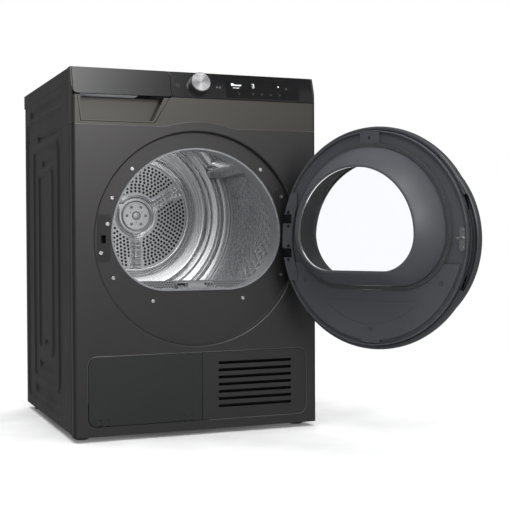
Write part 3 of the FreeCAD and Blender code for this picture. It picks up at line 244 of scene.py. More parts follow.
DRUM_CENTRE = (0.0, 0.0, DRUM_Z * MM)
MATERIALS = {
    "paint": metallic_paint("front_paint", (0.0500, 0.0478, 0.0486), 0.34),
    "side_paint": metallic_paint("side_paint", (0.052, 0.052, 0.049), 0.46),
    "fascia": metallic_paint("fascia_paint", (0.066, 0.063, 0.056), 0.38),
    # painted highlight: paint four times lighter than the panel, for the thin lines along the sheet's edges
    "edge": metallic_paint("edge_highlight_paint", (0.20, 0.195, 0.19), 0.3),
    "glass_black": gloss("gloss_black", (0.0035, 0.0036, 0.0044), 0.07),
    "display": moulded("display_black", (0.0012, 0.0012, 0.0015), 0.9, 0.0),
    "mark": lit("display_mark", (0.85, 0.88, 0.9), 0.9),
    "mark_dim": lit("printed_mark", (0.10, 0.105, 0.11), 0.0),
    "knob": spun_metal("spun_aluminium", (0.50, 0.50, 0.51), tuple(KNOB["pos_m"]), tuple(KNOB["axis"]),
                       0.3, 2500.0, 0.8),
    "flap": moulded("flap_plastic", (0.0120, 0.0130, 0.0128), 0.42, 0.05),
    "grille": moulded("grille_plastic", (0.0165, 0.0155, 0.0158), 0.42),
    "black": moulded("black_plastic", (0.006, 0.006, 0.0065), 0.42),
    "dark": moulded("inner_black", (0.0025, 0.0025, 0.0028), 0.6),
    "base": moulded("base_plastic", (0.02, 0.02, 0.021), 0.6),
    "door": moulded("door_plastic", (0.058, 0.060, 0.068), 0.42, 0.06),
    "door_rim": moulded("door_rim_plastic", (0.040, 0.041, 0.047), 0.3, 0.03),
    "lining": moulded("lining_black", (0.004, 0.004, 0.005), 0.85),
    "seal": rubber("seal_rubber", (0.040, 0.041, 0.046)),
    "foot": rubber("foot_rubber", (0.008, 0.008, 0.008)),
    "belt": rubber("belt_rubber", (0.012, 0.012, 0.012)),
    "ring": moulded("bulkhead_plastic", (0.20, 0.205, 0.215), 0.4, 0.08),
    "trim": sheet_metal("mouth_trim_metal", (0.74, 0.74, 0.75), 0.28),
    "filter": moulded("filter_plastic", (0.30, 0.305, 0.315), 0.42),
    "tank": moulded("tank_plastic", (0.55, 0.57, 0.58), 0.4),
    "nylon": moulded("nylon", (0.62, 0.61, 0.57), 0.45),
    "board": moulded("circuit_board", (0.02, 0.12, 0.05), 0.4),
    "shell": sheet_metal("stainless_shell", (0.70, 0.705, 0.72), 0.16, (1.0, 0.15, 1.0), 500.0),
    "back": spun_metal("stainless_back", (0.72, 0.725, 0.74), DRUM_CENTRE, (0, 1, 0), 0.24, 160.0, 0.3, 0.8),
    "plate": sheet_metal("perforated_plate", (0.70, 0.705, 0.72), 0.36, (1.0, 1.0, 0.2), 200.0, 0.6),
    "hub": spun_metal("hub_steel", (0.95, 0.955, 0.97), DRUM_CENTRE, (0, 1, 0), 0.42, 500.0, 0.2, 0.45),
    "lifter": sheet_metal("lifter_steel", (0.60, 0.605, 0.62), 0.22, (1.0, 0.1, 1.0), 600.0),
    "steel": sheet_metal("bright_steel", (0.62, 0.62, 0.63), 0.25),
    "machined": sheet_metal("machined_steel", (0.30, 0.30, 0.31), 0.35),
    "zinc": sheet_metal("zinc_sheet", (0.50, 0.51, 0.53), 0.42, (1.0, 1.0, 0.5), 60.0),
    "bronze": sheet_metal("bearing_bronze", (0.45, 0.30, 0.13), 0.4),
    "copper": sheet_metal("copper_tube", (0.78, 0.40, 0.24), 0.28),
    "fins": sheet_metal("aluminium_fins", (0.72, 0.73, 0.74), 0.35, (1.0, 1.0, 0.1), 300.0),
    "iron": moulded("coated_iron", (0.012, 0.012, 0.013), 0.45, 0.2, 500.0),
    "pane": clear_glass("window_glass", (0.98, 0.985, 1.0)),
    "lens": clear_glass("lamp_lens", (0.9, 0.9, 0.88), 0.25),
}

NODE_MATERIAL = {
    "paint": ["front_panel"],
    "side_paint": ["left_side_panel", "right_side_panel", "top_cover"],
    "fascia": ["fascia", "tank_grip"],
    "glass_black": ["control_glass", "tank_front"],
    "knob": ["program_knob"],
    "flap": ["exchanger_flap"],
    "grille": ["grille_panel"],
    "black": ["latch_plate", "hinge_bracket", "cord_inlet", "rear_duct", "drain_spigot"],
    "base": ["base_tray", "drain_pump", "exchanger_cover"],
    "door": ["door_inner_frame", "door_bowl", "door_cover_plate", "door_hinge_plate"],
    "door_rim": ["door_shell"],
    "seal": ["door_seal", "drum_front_seal"],
    "foot": ["levelling_feet_front_left", "levelling_feet_front_right", "levelling_feet_rear_left",
             "levelling_feet_rear_right"],
    "belt": ["belt"],
    "ring": ["opening_ring"],
    "filter": ["lint_filter"],
    "tank": ["water_tank"],
    "nylon": ["roller_left", "roller_right", "idler_pulley", "fan_impeller"],
    "board": ["control_board"],
    "shell": ["drum_shell"],
    "back": ["drum_back"],
    "hub": ["drum_hub"],
    "lifter": ["lifters"],
    "steel": ["front_screws", "door_striker", "moisture_bars"],
    "machined": ["drum_shaft", "door_screws", "motor_shaft", "idler_arm"],
    "zinc": ["rear_panel"],
    "bronze": ["rear_bearing"],
    "copper": ["refrigerant_pipes"],
    "fins": ["evaporator", "condenser"],
    "iron": ["motor_housing", "compressor"],
    "pane": ["door_glass", "door_window"],
    "lens": ["drum_lamp"],
}


def dress_nodes():
    for key, names in NODE_MATERIAL.items():
        for name in names:
            slots = NODES[name].material_slots
            if not slots:
                NODES[name].data.materials.append(MATERIALS[key])
            for material_slot in slots:
                material_slot.material = MATERIALS[key]


# ------------------------------------------------------------------ mesh helpers

class Shape:
    """Points and faces of a piece, in millimetres in the frame of the whole object."""

    def __init__(self):
        self.points = []
        self.faces = []

    def grid(self, rows, columns, place, closed_rows=False, closed_columns=False):
        """Net of rows x columns points; place(i, j) gives a point."""
        start = len(self.points)
        for i in range(rows):
            for j in range(columns):
                self.points.append(place(i, j))
        for i in range(rows if closed_rows else rows - 1):
            for j in range(columns if closed_columns else columns - 1):
                i2 = (i + 1) % rows
                j2 = (j + 1) % columns
                self.faces.append((start + i * columns + j, start + i2 * columns + j,
                                   start + i2 * columns + j2, start + i * columns + j2))

    def slab(self, low, high):
        start = len(self.points)
        for x in (low[0], high[0]):
            for y in (low[1], high[1]):
                for z in (low[2], high[2]):
                    self.points.append((x, y, z))
        for face in ((0, 1, 3, 2), (4, 6, 7, 5), (0, 4, 5, 1), (2, 3, 7, 6), (0, 2, 6, 4), (1, 5, 7, 3)):
            self.faces.append(tuple(start + k for k in face))

    def revolve(self, profile, centre_x, centre_z, steps=180, closed=True):
        """Turns (radius, y) points round a Y axis; a closed profile makes a solid ring."""
        def place(i, j):
            r, y = profile[i]
            a = math.tau * j / steps
            return (centre_x + r * math.cos(a), y, centre_z + r * math.sin(a))
        self.grid(len(profile), steps, place, closed, True)

    def prism(self, outline, lift):
        """Closed outline of points, given a thickness along a vector."""
        start = len(self.points)
        count = len(outline)
        self.points += [tuple(p) for p in outline]
        self.points += [tuple(Vector(p) + Vector(lift)) for p in outline]
        self.faces.append(tuple(start + k for k in range(count)))
        self.faces.append(tuple(start + count + k for k in reversed(range(count))))
        for k in range(count):
            k2 = (k + 1) % count
            self.faces.append((start + k, start + k2, start + count + k2, start + count + k))


def finish_piece(obj, body, material, sharp=35.0):
    mesh = obj.data
    mesh.materials.clear()
    mesh.materials.append(MATERIALS[material])
    mesh.shade_smooth()
    mesh.set_sharp_from_angle(angle=math.radians(sharp))
    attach(obj, body)
    return obj


def make_piece(name, shape, body, material, sharp=35.0, thickness=0.0):
    mesh = bpy.data.meshes.new(name)
    mesh.from_pydata([(x * MM, y * MM, z * MM) for x, y, z in shape.points], [], shape.faces)
    mesh.validate()
    obj = bpy.data.objects.new(name, mesh)
    bpy.context.scene.collection.objects.link(obj)
    if not thickness:
        outward(mesh)
    else:
        shell = obj.modifiers.new("thickness", "SOLIDIFY")
        shell.thickness = thickness * MM
        shell.offset = -1.0
    return finish_piece(obj, body, material, sharp)


def outward(mesh):
    """Turns every face of a closed mesh to face out."""
    work = bmesh.new()
    work.from_mesh(mesh)
    bmesh.ops.recalc_face_normals(work, faces=work.faces)
    work.to_mesh(mesh)
    work.free()


def rounded(profile, radius, steps=4, closed=False):
    """Rounds the corners of a profile with small curves."""
    out = []
    count = len(profile)
    for k, corner in enumerate(profile):
        if not closed and k in (0, count - 1):
            out.append(corner)
            continue
        here = Vector(corner)
        before = Vector(profile[k - 1]) - here
        after = Vector(profile[(k + 1) % count]) - here
        cut = min(radius, before.length * 0.45, after.length * 0.45)
        start = here + before.normalized() * cut
        end = here + after.normalized() * cut
        for s in range(steps + 1):
            t = s / steps
            point = start * (1 - t) ** 2 + here * 2 * t * (1 - t) + end * t ** 2
            out.append(tuple(point))
    return out


def ease(t):
    t = max(0.0, min(1.0, t))
    return t * t * (3 - 2 * t)


# ------------------------------------------------------------------ cabinet sides

def box_distance(y, z, y0, y1, z0, z1, r):
    """Signed distance to a rounded rectangle, negative inside."""
    dy = abs(y - 0.5 * (y0 + y1)) - 0.5 * (y1 - y0) + r
    dz = abs(z - 0.5 * (z0 + z1)) - 0.5 * (z1 - z0) + r
    return math.hypot(max(dy, 0.0), max(dz, 0.0)) + min(max(dy, dz), 0.0) - r


FIELDS = [(-214, 258, 38, 768, 34), (-138, 180, 90, 700, 30), (-68, 112, 170, 636, 27)]
POCKETS = [(-196, 200, 776, 796), (-120, 122, 708, 726), (-52, 66, 642, 658),
           (-104, 166, 60, 80), (-56, 110, 130, 148), (2, 42, 194, 208)]
FIELD_DEPTH = 3.4
RIDGE = 15.0
POCKET_DEPTH = 4.2


def relief(y, z):
    """Depth of the pressed pattern: one sunk field, two raised loops in it and six pockets."""
    depth = FIELD_DEPTH * ease(-box_distance(y, z, *FIELDS[0]) / 7.0)
    for field in FIELDS[1:]:
        across = abs(box_distance(y, z, *field) + RIDGE / 2)
        depth -= FIELD_DEPTH * ease((RIDGE / 2 + 2.5 - across) / 5.0)
    for y0, y1, z0, z1 in POCKETS:
        inside = -box_distance(y, z, y0, y1, z0, z1, 0.5 * (z1 - z0) - 0.5)
        depth += POCKET_DEPTH * ease((inside + 2.0) / 6.0)
    return depth


NOTCH_Z = 719.0
NOTCH_Y = -261.4
PRESSING_STEP = 3.6
SHEET = 1.2
HEM_DEPTH = 14.0


def side_panels():
    """Pressed outer sheets with their hems; the front edge steps back above the front panel."""
    for label, side in (("left", -1), ("right", 1)):
        node = label + "_side_panel"
        low, high = low_high(node)
        wide = max(abs(low.x), abs(high.x))
        shape = Shape()
        for z0, z1, y0 in ((low.z, NOTCH_Z, low.y), (NOTCH_Z, high.z, NOTCH_Y)):
            rows = int((z1 - z0) / PRESSING_STEP) + 1
            columns = int((high.y - y0) / PRESSING_STEP) + 1

            def place(i, j, z0=z0, z1=z1, y0=y0, rows=rows, columns=columns):
                y = y0 + (high.y - y0) * j / (columns - 1)
                z = z0 + (z1 - z0) * i / (rows - 1)
                return (side * (wide - relief(y, z)), y, z)
            shape.grid(rows, columns, place)
        if side > 0:
            shape.faces = [tuple(reversed(f)) for f in shape.faces]
        panel = make_piece(label + "_side_pressing", shape, "cabinet", "side_paint",
                           60.0, SHEET)
        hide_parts(node)
        hems = Shape()
        inner = wide - HEM_DEPTH
        outer = wide - 0.3
        spans = [((high.y - SHEET, high.y), (low.z, high.z)), ((low.y, high.y), (low.z, low.z + SHEET)),
                 ((low.y, low.y + SHEET), (low.z, NOTCH_Z))]
        for (y0, y1), (z0, z1) in spans:
            hems.slab((min(side * inner, side * outer), y0, z0), (max(side * inner, side * outer), y1, z1))
        make_piece(label + "_side_hems", hems, "cabinet", "side_paint")


# ------------------------------------------------------------------ drum

DIMPLE_ROWS = (-214.0, 214.0)
DIMPLE_PITCH_Y = 22.0
DIMPLE_COUNT = 82
DIMPLE_HEIGHT = 3.4


def drum_shell():
    """Inner drum wall with staggered scales pressed inwards."""
    radius = DRUM_R - 1.0
    pitch = math.tau * radius / DIMPLE_COUNT
    columns = DIMPLE_COUNT * 7
    rows = int((SHELL_HIGH.y - SHELL_LOW.y) / 3.2)

    def scale_height(y, around):
        if not DIMPLE_ROWS[0] < y < DIMPLE_ROWS[1]:
            return 0.0
        best = 0.0
        row = round((y - DIMPLE_ROWS[0]) / DIMPLE_PITCH_Y - 0.5)
        for r in (row - 1, row, row + 1):
            centre_y = DIMPLE_ROWS[0] + DIMPLE_PITCH_Y * (r + 0.5)
            shift = 0.5 * (r % 2)
            cell = round(around / pitch - shift)
            across = (around - (cell + shift) * pitch) / 9.2
            along = (y - centre_y) / 9.6
            best = max(best, 1.0 - across * across - along * along)
        return DIMPLE_HEIGHT * ease(best * 1.15)

    def place(i, j):
        y = SHELL_LOW.y + (SHELL_HIGH.y - SHELL_LOW.y) * i / (rows - 1)
        a = math.tau * j / columns
        r = radius - scale_height(y, a * radius)
        return (r * math.cos(a), y, DRUM_Z + r * math.sin(a))

    shape = Shape()
    shape.grid(rows, columns, place, False, True)
    wall = make_piece("drum_wall", shape, "drum", "shell", 80.0, -0.9)
    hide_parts("drum_shell")


BACK_Y = 250.0
SPOKES = (30.0, 150.0, 270.0)
FIELD_OUTER = 148.5
FIELD_EDGE = 10.0
HUB_RING = 50.0
SPOKE_HALF = 5.0
STAR_INNER = 41.5
STAR_ROWS = 84
STAR_COLUMNS = 560
FIRST_HOLES = 69.0
HOLE_RINGS = 9
HOLE_PITCH = 11.2
HOLE_R = 3.75
HOLE_SIDES = 14


def star_distance(x, z):
    """Distance from the raised hub ring and its three spokes, with soft inner corners."""
    near = math.hypot(x, z) - HUB_RING
    for angle in SPOKES:
        a = math.radians(angle)
        along = x * math.cos(a) + z * math.sin(a)
        across = abs(z * math.cos(a) - x * math.sin(a))
        spoke = (across if along > 0 else math.hypot(x, z)) - SPOKE_HALF
        blend = max(0.0, 1.0 - abs(near - spoke) / 16.0)
        near = min(near, spoke) - 4.0 * blend * blend
    return near


def star_height(x, z):
    """Height of the pressing towards the door: raised star, then a groove, then the flat field."""
    d = star_distance(x, z)
    fade = ease((FIELD_OUTER + 2.0 - math.hypot(x, z)) / 8.0)
    return (5.5 * ease((2.0 - d) / 4.5) - 4.6 * math.exp(-((d - 5.6) / 2.6) ** 2)) * fade


def star_pressing(shape):
    """Net of the pressed star: the cells within FIELD_EDGE of the hub ring and the spokes."""
    rows = STAR_ROWS
    columns = STAR_COLUMNS
    start = len(shape.points)
    keep = []
    for i in range(rows):
        r = STAR_INNER + (FIELD_OUTER + 1.5 - STAR_INNER) * i / (rows - 1)
        for j in range(columns):
            a = math.tau * j / columns
            x = r * math.cos(a)
            z = r * math.sin(a)
            keep.append(star_distance(x, z) < FIELD_EDGE + 2.5)
            shape.points.append((x, BACK_Y + 0.7 - star_height(x, z), DRUM_Z + z))
    for i in range(rows - 1):
        for j in range(columns):
            j2 = (j + 1) % columns
            corners = (i * columns + j, i * columns + j2, (i + 1) * columns + j2, (i + 1) * columns + j)
            if any(keep[c] for c in corners):
                shape.faces.append(tuple(start + c for c in corners))


def field_outline(middle):
    """Outline of one perforated field between two spokes, a fixed distance off the star."""
    inner = []
    count = 90
    for k in range(count + 1):
        a = math.radians(middle - 60.0 + 120.0 * k / count)
        low = HUB_RING
        high = FIELD_OUTER
        if star_distance(high * math.cos(a), high * math.sin(a)) < FIELD_EDGE:
            continue
        for _ in range(24):
            half = 0.5 * (low + high)
            if star_distance(half * math.cos(a), half * math.sin(a)) < FIELD_EDGE:
                low = half
            else:
                high = half
        inner.append((high, a))
    outer = [(FIELD_OUTER, a) for r, a in reversed(inner)]
    return [(r * math.cos(a), r * math.sin(a)) for r, a in inner + outer]


def field_holes(middle):
    """Staggered holes on circles round the hub that keep clear of the star."""
    found = []
    last = FIELD_OUTER - 7.5
    for ring in range(HOLE_RINGS):
        r = FIRST_HOLES + (last - FIRST_HOLES) * ring / (HOLE_RINGS - 1)
        count = int(math.tau * r / HOLE_PITCH / 3) * 3
        for k in range(count):
            a = math.tau * (k + 0.5 * (ring % 2)) / count
            x = r * math.cos(a)
            z = r * math.sin(a)
            turn = (math.degrees(a) - middle + 180.0) % 360.0 - 180.0
            if abs(turn) < 60.0 and star_distance(x, z) > FIELD_EDGE + 4.6:
                found.append((x, z))
    return found


def curve_object(name, curve):
    """Object with the mesh that a curve makes."""
    holder = bpy.data.objects.new(name + "_holder", curve)
    bpy.context.scene.collection.objects.link(holder)
    mesh = bpy.data.meshes.new_from_object(holder.evaluated_get(bpy.context.evaluated_depsgraph_get()))
    bpy.data.objects.remove(holder)
    obj = bpy.data.objects.new(name, mesh)
    bpy.context.scene.collection.objects.link(obj)
    return obj


def punched_plate(name, outline, holes, radius, thick, matrix, body, material):
    """Flat plate with round holes, filled between its outline and the holes."""
    curve = bpy.data.curves.new(name + "_curve", "CURVE")
    curve.dimensions = "2D"
    curve.fill_mode = "BOTH"
    loops = [outline]
    for x, z in holes:
        turns = [math.tau * k / HOLE_SIDES for k in range(HOLE_SIDES)]
        loops.append([(x + radius * math.cos(a), z + radius * math.sin(a)) for a in turns])
    for loop in loops:
        spline = curve.splines.new("POLY")
        spline.points.add(len(loop) - 1)
        for point, (x, z) in zip(spline.points, loop):
            point.co = (x * MM, z * MM, 0.0, 1.0)
        spline.use_cyclic_u = True
    curve.extrude = 0.5 * thick * MM
    plate = curve_object(name, curve)
    plate.data.transform(matrix)
    outward(plate.data)
    return finish_piece(plate, body, material, 30.0)


def facing_front(y, z):
    """Places a plate drawn in X and Y upright at a distance y, with its origin at height z."""
    return Matrix(((1, 0, 0, 0), (0, 0, 1, y * MM), (0, 1, 0, z * MM), (0, 0, 0, 1)))


def drum_back():
    """Pressed back wall: perforated fields, raised star and stepped outer rings."""
    rim = [(147.5, 250.6), (149.0, 246.4), (151.0, 245.2), (166.0, 245.2), (168.5, 246.6), (171.5, 253.4)]
    dish = [(176.0, 253.0), (202.0, 249.6), (206.0, 246.0)]
    inner_ridge = [(219.0, 238.6), (222.5, 238.8), (226.0, 243.6), (229.0, 243.4)]
    outer_ridge = [(241.0, 238.2), (244.5, 239.0), (249.0, 254.6), (256.0, 254.8)]
    edge = [(261.0, 243.4), (273.0, 240.6), (275.5, 241.2), (278.0, 246.6), (280.0, 246.8), (282.4, 243.0)]
    steps = rim + dish + inner_ridge + outer_ridge + edge
    face = rounded(steps, 3.0)
    rear = [(r, y + 1.0) for r, y in reversed(face)]
    shape = Shape()
    shape.revolve(face + rear, 0.0, DRUM_Z, 240)
    wall = make_piece("drum_back_rings", shape, "drum", "back", 50.0)
    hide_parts("drum_back")
    star = Shape()
    star_pressing(star)
    make_piece("drum_back_star", star, "drum", "back", 70.0, -0.8)
    for index, middle in enumerate((90.0, 210.0, 330.0)):
        punched_plate("perforated_field_" + str(index + 1), field_outline(middle), field_holes(middle),
                      HOLE_R, 1.0, facing_front(BACK_Y, DRUM_Z), "drum", "plate")


HUB_FACE = 242.9
BOLT_RING = 27.0
BOLTS = 6
PIN_RING = 18.5
PINS = 3


def hub_details():
    """Centre boss and bolts of the hub plate, with two dark rings of painted shade: one round the boss where
    its groove would be shaded, one at the rim.
    """
    boss = Shape()
    boss.revolve([(0.0, 239.6), (7.6, 239.6), (8.8, 240.4), (9.0, 242.4), (0.0, 242.4)], 0.0, DRUM_Z, 48)
    make_piece("hub_boss", boss, "drum", "hub", 40.0)
    # painted shade: a dark ring standing in for the shaded groove round the boss
    groove = Shape()
    groove.revolve([(9.4, 241.6), (12.6, 241.6), (12.6, HUB_FACE), (9.4, HUB_FACE)], 0.0, DRUM_Z, 48)
    make_piece("hub_groove_shade", groove, "drum", "machined", 40.0)
    rim = Shape()
    rim.revolve(rounded([(38.4, 243.6), (40.6, 243.0), (42.6, 243.6), (42.6, 246.4), (38.4, 246.4)], 0.7, 3,
                        True), 0.0, DRUM_Z, 96)
    make_piece("hub_rim_shadow", rim, "drum", "machined", 40.0)
    bolts = Shape()
    for k in range(BOLTS):
        a = math.tau * k / BOLTS
        bolts.revolve([(0.0, 240.2), (3.2, 240.4), (4.3, 241.2), (4.6, HUB_FACE), (0.0, HUB_FACE)],
                      BOLT_RING * math.cos(a), DRUM_Z + BOLT_RING * math.sin(a), 24)
    for k in range(PINS):
        a = math.radians(30.0 + 120.0 * k)
        bolts.revolve([(0.0, 242.4), (1.4, 242.5), (1.8, 242.95), (0.0, 242.95)],
                      PIN_RING * math.cos(a), DRUM_Z + PIN_RING * math.sin(a), 16)
    make_piece("hub_bolts", bolts, "drum", "machined", 40.0)


def drum_shade_screen():
    """Dark sheet of painted shade behind the perforated fields, so their holes read as shaded."""
    # painted shade: a black sheet where the holes would show the shaded inside
    shape = Shape()
    shape.revolve(rounded([(36.0, 257.0), (150.0, 257.0), (150.0, 258.0), (36.0, 258.0)], 0.3, 2, True), 0.0,
                  DRUM_Z, 96)
    make_piece("drum_shade_screen", shape, "drum", "black")


# ------------------------------------------------------------------ loading mouth

def d_outline(shape, grow, step=3.0):
    """Points round a D outline, grown outwards, as (across, up) from the door's centre."""
    radius = shape["radius"] + grow
    flat = shape["flat"] - grow
    corner = shape["corner"] + grow
    lift = shape["lift"]
    reach = radius - corner
    drop = flat + corner - lift
    side = math.sqrt(reach * reach - drop * drop)
    join = math.atan2(drop, side)
    count = int(radius * (math.pi - 2 * join) / step)
    points = [(radius * math.cos(a), lift + radius * math.sin(a))
              for a in (join + (math.pi - 2 * join) * k / count for k in range(count + 1))]
    count = int(corner * (math.pi / 2 + join) / step)
    left = [(-side + corner * math.cos(a), flat + corner + corner * math.sin(a))
            for a in (math.pi - join + (math.pi / 2 + join) * k / count for k in range(1, count + 1))]
    return points + left + [(-x, v) for x, v in reversed(left)]


def resampled(points, count):
    """Closed outline with evenly spaced points."""
    loop = [Vector(p) for p in points]
    lengths = [0.0]
    for k, point in enumerate(loop):
        lengths.append(lengths[-1] + (loop[(k + 1) % len(loop)] - point).length)
    out = []
    k = 0
    for n in range(count):
        goal = lengths[-1] * n / count
        while lengths[k + 1] < goal:
            k += 1
        t = (goal - lengths[k]) / max(lengths[k + 1] - lengths[k], 1e-9)
        point = loop[k].lerp(loop[(k + 1) % len(loop)], t)
        out.append((point.x, point.y))
    return out


def mouth_trim():
    """Bright rounded edge round the loading opening."""
    count = 420
    section = 12
    inner = resampled(d_outline(MOUTH, -0.4), count)
    outer = resampled(d_outline(MOUTH, 3.2), count)

    def place(i, j):
        a = math.tau * j / section
        t = 0.5 + 0.5 * math.cos(a)
        x = inner[i][0] + (outer[i][0] - inner[i][0]) * t
        v = inner[i][1] + (outer[i][1] - inner[i][1]) * t
        return (x, RECESS_FLOOR - 0.5 - 1.12 * math.sin(a), DOOR_Z + v)
    shape = Shape()
    shape.grid(count, section, place, True, True)
    make_piece("mouth_trim", shape, "cabinet", "trim", 60.0)


SILL_TOP = 360.4
SILL_FACE = -250.4
SILL_HOLE_R = 1.7


def sill_grille():
    """Punched plastic ledge in front of the sill wall, on both sides of the filter, with a dark sheet of
    painted shade behind its holes.
    """
    high = low_high("lint_filter")[1]
    z0 = DOOR_Z + MOUTH["flat"] - 1.5
    for label, side in (("left", -1), ("right", 1)):
        inner = high.x + 1.0
        outline = [(side * inner, 0.0), (side * 128.0, 0.0), (side * 146.0, 5.0),
                   (side * 160.0, SILL_TOP - z0), (side * inner, SILL_TOP - z0)]
        holes = []
        for row in range(3):
            for k in range(17):
                x = inner + 5.0 + 6.2 * k + 3.1 * (row % 2)
                if x < 134.0 + 5.0 * row:
                    holes.append((side * x, 4.4 + 5.6 * row))
        punched_plate("sill_grille_" + label, outline, holes, SILL_HOLE_R, 1.4, facing_front(SILL_FACE, z0),
                      "cabinet", "ring")
        # painted shade: a dark sheet behind the punched holes so they read as shaded openings
        shade_backing = Shape()
        shade_backing.slab((min(side * inner, side * 142.0), -249.4, z0 + 1.5),
                     (max(side * inner, side * 142.0), -247.9, SILL_TOP - 2.0))
        make_piece("sill_grille_shade_backing_" + label, shade_backing, "cabinet", "dark")


FILTER_FACE = -263.2


def filter_details():
    """Handle slot and slanted air bars on the lint filter's raised back; the side wells and the handle slot
    are thin dark plates of painted shade laid on the face.
    """
    low, high = low_high("lint_filter")
    face = FILTER_FACE
    top = high.z - 2.5
    foot = high.z - 13.5
    # painted shade: thin dark plates on the face standing in for the shaded side wells and handle slot
    dark = Shape()
    for x0, x1 in ((low.x + 2.0, -24.0), (21.0, high.x - 2.0)):
        dark.slab((x0, face - 0.8, foot), (x1, face, top))
    dark.slab((-22.0, face - 0.8, top - 2.6), (19.0, face, top))
    make_piece("filter_well_shade", dark, "filter", "dark")
    bars = Shape()
    for x in (24.0, 31.0):
        bars.prism([(x, face - 1.0, foot), (x + 2.4, face - 1.0, foot), (x + 10.4, face - 1.0, top),
                    (x + 8.0, face - 1.0, top)], (0, -0.9, 0))
    bars.slab((-18.0, face - 1.6, top - 6.4), (8.0, face, top - 3.6))
    make_piece("filter_air_bars", bars, "filter", "filter")


ARCH_R = 272.0
KICK_CORNER_R = 20.2


def edge_highlight_lines():
    """Painted highlight: fine lines of lighter paint along the edges of the sheet, at the fascia seam and
    three sides of the lower opening, standing in for the light the edges catch.
    """
    start = math.asin((SEAM_Z - DOOR_Z) / ARCH_R)
    line = [(-295.0 + 8.0 * k, SEAM_Z) for k in range(27)]
    line = [p for p in line if p[0] < -ARCH_R * math.cos(start) - 6.0]
    count = 40
    turns = [start + (math.pi - 2 * start) * k / count for k in range(count + 1)]
    line += [(-ARCH_R * math.cos(a), DOOR_Z + ARCH_R * math.sin(a)) for a in turns]
    line += [(-x, z) for x, z in reversed(line[:-(count + 1)])]
    kick = [(20.0, 33.8)]
    for cx, cz, a0 in ((252.0, 54.0, 270), (252.0, 174.0, 0), (-248.0, 174.0, 90)):
        turns = [math.radians(a0 + 15 * k) for k in range(7)]
        kick += [(cx + KICK_CORNER_R * math.cos(a), cz + KICK_CORNER_R * math.sin(a)) for a in turns]
    kick.append((-268.2, 90.0))
    for name, points, size in (("seam_highlight", line, 0.75), ("kick_highlight", kick, 0.55)):
        curve = bpy.data.curves.new(name + "_curve", "CURVE")
        curve.dimensions = "3D"
        curve.bevel_depth = size * MM
        curve.bevel_resolution = 3
        spline = curve.splines.new("POLY")
        spline.points.add(len(points) - 1)
        for point, (x, z) in zip(spline.points, points):
            point.co = (x * MM, (FRONT + 0.1) * MM, z * MM, 1.0)
        finish_piece(curve_object(name, curve), "cabinet", "edge")


# ------------------------------------------------------------------ door

OPEN_ANGLE = math.radians(120.6)
INNER_BASE = {"radius": 172.0, "lift": 6.0, "flat": -93.0, "corner": 106.0}
INNER_MID = {"radius": 162.0, "lift": 9.0, "flat": -84.0, "corner": 94.0}
WINDOW = {"radius": 149.5, "lift": 9.0, "flat": -72.5, "corner": 80.0}


def on_door(u, v, w):
    """Point of the open door: u across from its centre, v up, w in from the hinge plane."""
    x = u - HINGE[0] / MM
    y = w
    c = math.cos(OPEN_ANGLE)
    s = math.sin(OPEN_ANGLE)
    return (HINGE[0] / MM + x * c - y * s, HINGE[1] / MM + x * s + y * c, DOOR_Z + v)


def door_lining():
    """Glossy black sleeve inside the window funnel and the bowl."""
    count = 240
    stations = [(-18.0, INNER_BASE, 2.2), (0.0, INNER_BASE, 0.8), (17.5, INNER_BASE, -0.8)]
    stations += [(32.0, INNER_BASE, -4.4), (46.0, INNER_MID, 2.4), (60.0, INNER_MID, -0.8)]
    stations += [(71.0, WINDOW, 4.2), (81.6, WINDOW, -0.2)]
    loops = [resampled(d_outline(shape, grow), count) for w, shape, grow in stations]
    skin = Shape()
    skin.grid(len(stations), count,
              lambda i, j: on_door(loops[i][j][0], loops[i][j][1], stations[i][0]), False, True)
    make_piece("door_lining", skin, "door", "lining", 50.0, 0.4)


def hinge_caps():
    """Dark plugs in the hinge plate."""
    caps = Shape()
    for v in (62.5, 29.0, -18.0, -51.0):
        ring = [on_door(u, up, 23.7) for u, up in disc(225.0, v, 4.0)]
        lift = Vector(on_door(0.0, 0.0, 1.0)) - Vector(on_door(0.0, 0.0, 0.0))
        caps.prism(ring, lift * 0.8)
    make_piece("hinge_caps", caps, "door", "dark", 30.0)


# ------------------------------------------------------------------ control face

def on_face(x, up, out):
    """Point on the leaning control face: up the slope and out along its normal."""
    return (x, FRONT + up * math.sin(LEAN) - out * math.cos(LEAN),
            LEAN_BOTTOM + up * math.cos(LEAN) + out * math.sin(LEAN))


FACE_NORMAL = (0.0, -math.cos(LEAN), math.sin(LEAN))


def face_plate(shape, outline, out, thick):
    lift = tuple(c * thick for c in FACE_NORMAL)
    shape.prism([on_face(x, up, out) for x, up in outline], lift)


def bar(x0, x1, up0, up1):
    return [(x0, up0), (x1, up0), (x1, up1), (x0, up1)]


def disc(x, up, r, sides=20):
    turns = [math.tau * k / sides for k in range(sides)]
    return [(x + r * math.cos(a), up + r * math.sin(a)) for a in turns]


def arc_band(x, up, r, width, start, end, sides=24):
    outer = [(x + r * math.cos(math.radians(start + (end - start) * k / sides)),
              up + r * math.sin(math.radians(start + (end - start) * k / sides))) for k in range(sides + 1)]
    inner = [(x + (px - x) * (r - width) / r, up + (pu - up) * (r - width) / r) for px, pu in reversed(outer)]
    return outer + inner


SEGMENTS = {"top": (0, 1, 0.92, 1), "middle": (0, 1, 0.46, 0.54), "bottom": (0, 1, 0, 0.08),
            "right_high": (0.84, 1, 0.5, 1), "right_low": (0.84, 1, 0, 0.5),
            "left_high": (0, 0.16, 0.5, 1), "left_low": (0, 0.16, 0, 0.5)}
DIGITS = {3: ("top", "middle", "bottom", "right_high", "right_low"),
          0: ("top", "bottom", "right_high", "right_low", "left_high", "left_low")}


def digit(shape, value, x, up, width, height, out):
    for name in DIGITS[value]:
        a, b, c, d = SEGMENTS[name]
        face_plate(shape, bar(x + a * width, x + b * width, up + c * height, up + d * height), out, 0.08)


